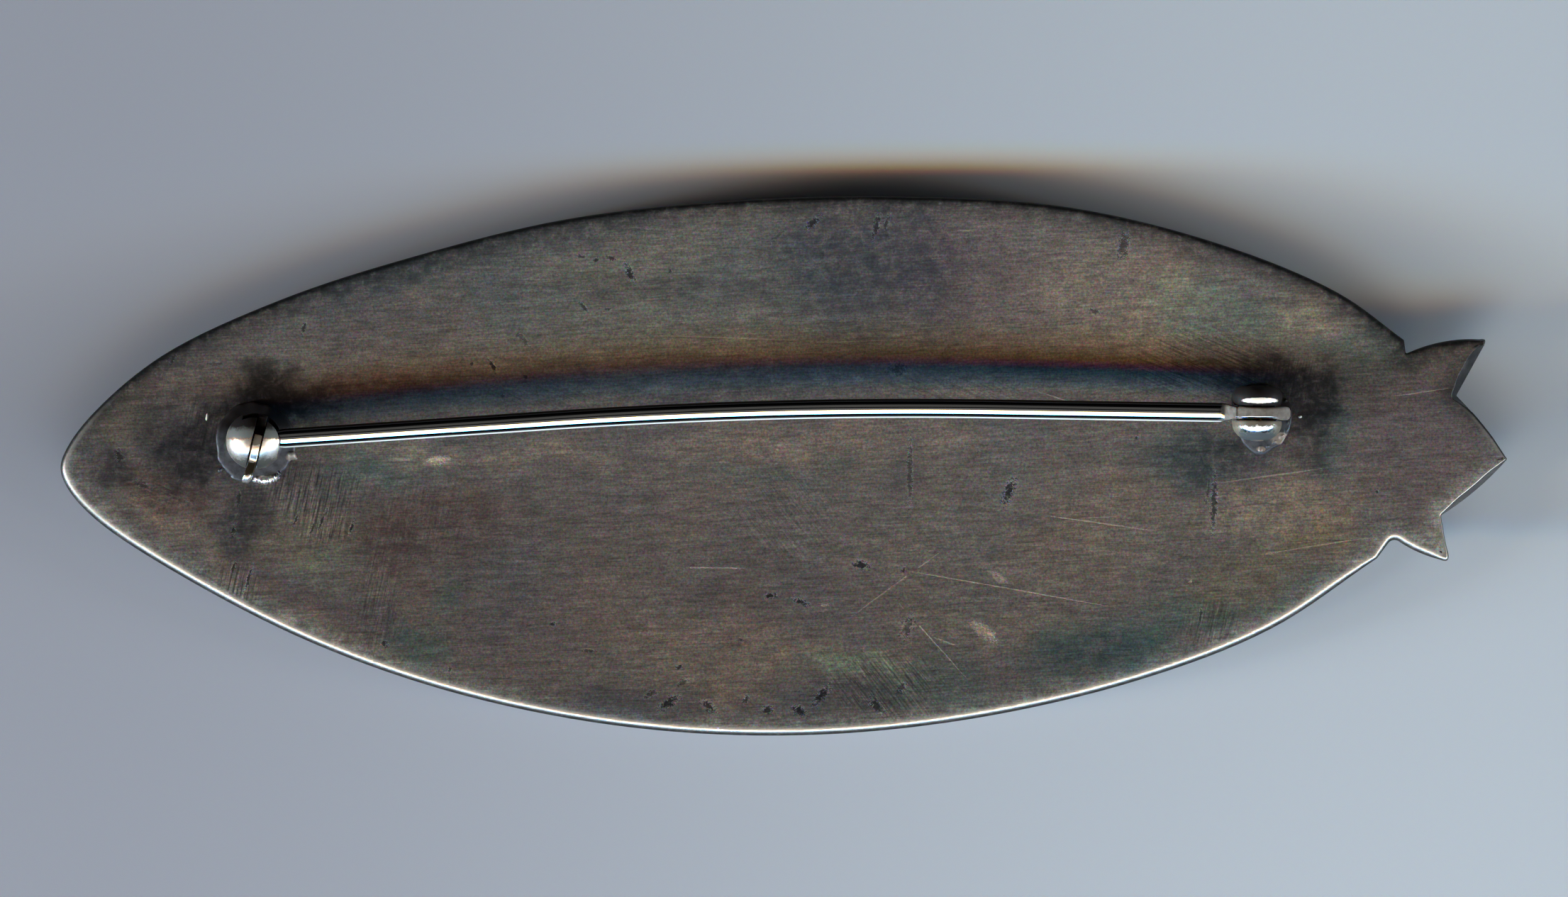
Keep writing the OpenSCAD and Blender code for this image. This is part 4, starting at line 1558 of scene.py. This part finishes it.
def add_world():
    """Very dim room light, with a grey backdrop that lights nothing."""
    world = bpy.data.worlds.new("room")
    world.use_nodes = True
    tree = world.node_tree
    room = tree.nodes["Background"]
    room.inputs["Color"].default_value = (0.9, 0.95, 1, 1)
    room.inputs["Strength"].default_value = 0.008
    behind = add(tree, "Background", {"Color": (0.38, 0.43, 0.5, 1), "Strength": 1.0})
    seen = add(tree, "LightPath", {}).outputs["Is Camera Ray"]
    joined = add(tree, "MixShader", {0: seen, 1: room.outputs[0], 2: behind.outputs[0]})
    tree.links.new(joined.outputs[0], tree.nodes["World Output"].inputs["Surface"])
    bpy.context.scene.world = world


def add_camera():
    """Looks straight down from far away, as a scanner sees."""
    away = 1040.0
    sensor = 36.0
    frame_wide = 93.6
    middle = (-0.02, 1.04)
    camera = bpy.data.cameras.new("camera")
    camera.lens = sensor * away / frame_wide
    camera.sensor_width = sensor
    camera.clip_start = 0.01
    camera.clip_end = 10
    holder = bpy.data.objects.new("camera", camera)
    holder.location = Vector((*middle, away)) * MM
    bpy.context.scene.collection.objects.link(holder)
    bpy.context.scene.camera = holder


add_camera()
add_lamps()
add_world()
add_floor()
bpy.context.scene.view_settings.view_transform = "Standard"

# Paints of the fittings: a colour, and how matt it is. Most paint light and shade where the lamps do or
# don't reach the fittings
# Black painted shade on the upper sides of the fittings, which face away from the lamps
PAINTED_SHADE = ((0.012, 0.01, 0.01), 0.95)
# Matt grey painted dim reflection on the ball, just above its highlight
DIM_REFLECTION = ((0.115, 0.12, 0.115), 0.8)
# Rusty brown painted fringe along the top edge of the ball's highlight
HIGHLIGHT_FRINGE = ((0.3, 0.17, 0.09), 0.3)
# Matt brown painted shade on the leaf, and above the lower cheek's highlight, which it cuts flat
UMBER = ((0.11, 0.092, 0.07), 0.85)
# Dark brown painted reflection of the shaded sheet on the leaf's tab
DARK = ((0.035, 0.028, 0.018), 0.5)
# Brownish painted shade at the left and right ends of the ball and the cheeks, which dims the lamps'
# bright ends
EDGE = ((0.17, 0.155, 0.12), 0.6)
# Grey painted shade on the ball's lower part
LOWER_SHADE = ((0.13, 0.13, 0.118), 0.3)
# Light brown matt patches on lumps of solder, partly painted highlight and partly their brown tone
SPECK = ((0.21, 0.18, 0.155), 0.6)
# Blue-grey painted reflection below the lower cheek's highlight
SLATE = ((0.085, 0.098, 0.105), 0.6)
# Cream painted highlight along the upper cheek
STRIP = ((0.9, 0.84, 0.74), 0.6)
# White painted highlight on the lower cheek, shaped like a smile
SMILE = ((0.95, 0.95, 0.92), 0.55)
# Matt white painted highlight on small lumps of solder
MATT_GLINT = ((0.5, 0.46, 0.42), 0.9)
# Bright painted highlight on the catch's solder ridge, on a lump at the hinge and at the tip of the
# leaf's tab
BRIGHT = ((0.9, 0.87, 0.82), 0.0)

# Bare metal under the paints
CREAM = (0.84, 0.79, 0.71, 1)
SOLDER = (0.088, 0.092, 0.106, 1)
CHEEK = (0.34, 0.34, 0.31, 1)

# Materials of the fittings, with their layers of painted shade, highlights and reflections
catch_solder_silver = bright_silver("catch_solder_silver", SOLDER, 0.36, 0.8, BALL_PLACE, [
    ("up", -0.3, 0.9, PAINTED_SHADE),
    ("spot", 0.75, -2.38, 0.95, 0.32, BRIGHT),
    ("spot", 2.2, -0.95, 0.42, 0.32, SPECK),
    ("spot", -2.88, 1.42, 0.3, 0.34, MATT_GLINT),
], dry=0.45)
hinge_solder_silver = bright_silver("hinge_solder_silver", SOLDER, 0.36, 0.8, HINGE_PLACE, [
    ("up", -0.9, 0.0, PAINTED_SHADE),
    ("spot", 1.45, -1.5, 0.65, 0.4, SPECK),
    ("spot", 0.3, -2.15, 0.3, 0.18, SPECK),
    ("spot", 2.62, -0.22, 0.25, 0.2, MATT_GLINT),
    ("spot", 1.28, -0.62, 0.2, 0.15, BRIGHT),
], dry=0.45)
ball_silver = bright_silver("ball_silver", CREAM, 0.3, 0.4, BALL_PLACE, [
    ("up", -0.02, 0.1, HIGHLIGHT_FRINGE),
    ("up", 0.06, 0.2, DIM_REFLECTION),
    ("up", 0.55, 0.85, PAINTED_SHADE),
    ("up", -0.8, -1.15, LOWER_SHADE),
    ("side", 1.48, 1.66, EDGE),
])
leaf_silver = bright_silver("leaf_silver", CREAM, 0.26, 0.3, BALL_PLACE, [
    ("up", -0.36, -0.22, UMBER),
    ("up", 0.35, 0.6, PAINTED_SHADE),
    ("up", -1.2, -1.32, DARK),
    ("up", -2.0, -2.1, BRIGHT),
])
cheek_silver = bright_silver("cheek_silver", CHEEK, 0.16, 0.4, HINGE_PLACE, [
    ("up", -1.12, -1.2, SLATE),
    ("side", 0.95, 1.15, EDGE),
    ("spot", -0.02, -0.78, 1.0, 0.34, SMILE),
    ("up", -0.82, -0.74, UMBER),
    ("up", 0.2, 0.3, PAINTED_SHADE),
    ("spot", 0.14, 0.74, 1.15, 0.18, STRIP),
])
rivet_silver = bright_silver("rivet_silver", CREAM, 0.27, 0.6, HINGE_PLACE, [("up", 0.85, 1.05, PAINTED_SHADE)])

make_plate(tarnished_silver())
make_ball(ball_silver)
make_leaf(leaf_silver)
make_cheeks(cheek_silver)
make_rivet(rivet_silver)
make_solder("catch_solder", AT_CATCH, CATCH_PUDDLE, catch_reach, 3.1, CATCH_LUMPS, catch_solder_silver)
make_solder("hinge_solder", AT_HINGE, HINGE_PUDDLE, hinge_reach, 7.4, HINGE_LUMPS, hinge_solder_silver)
make_stem(wire_silver())
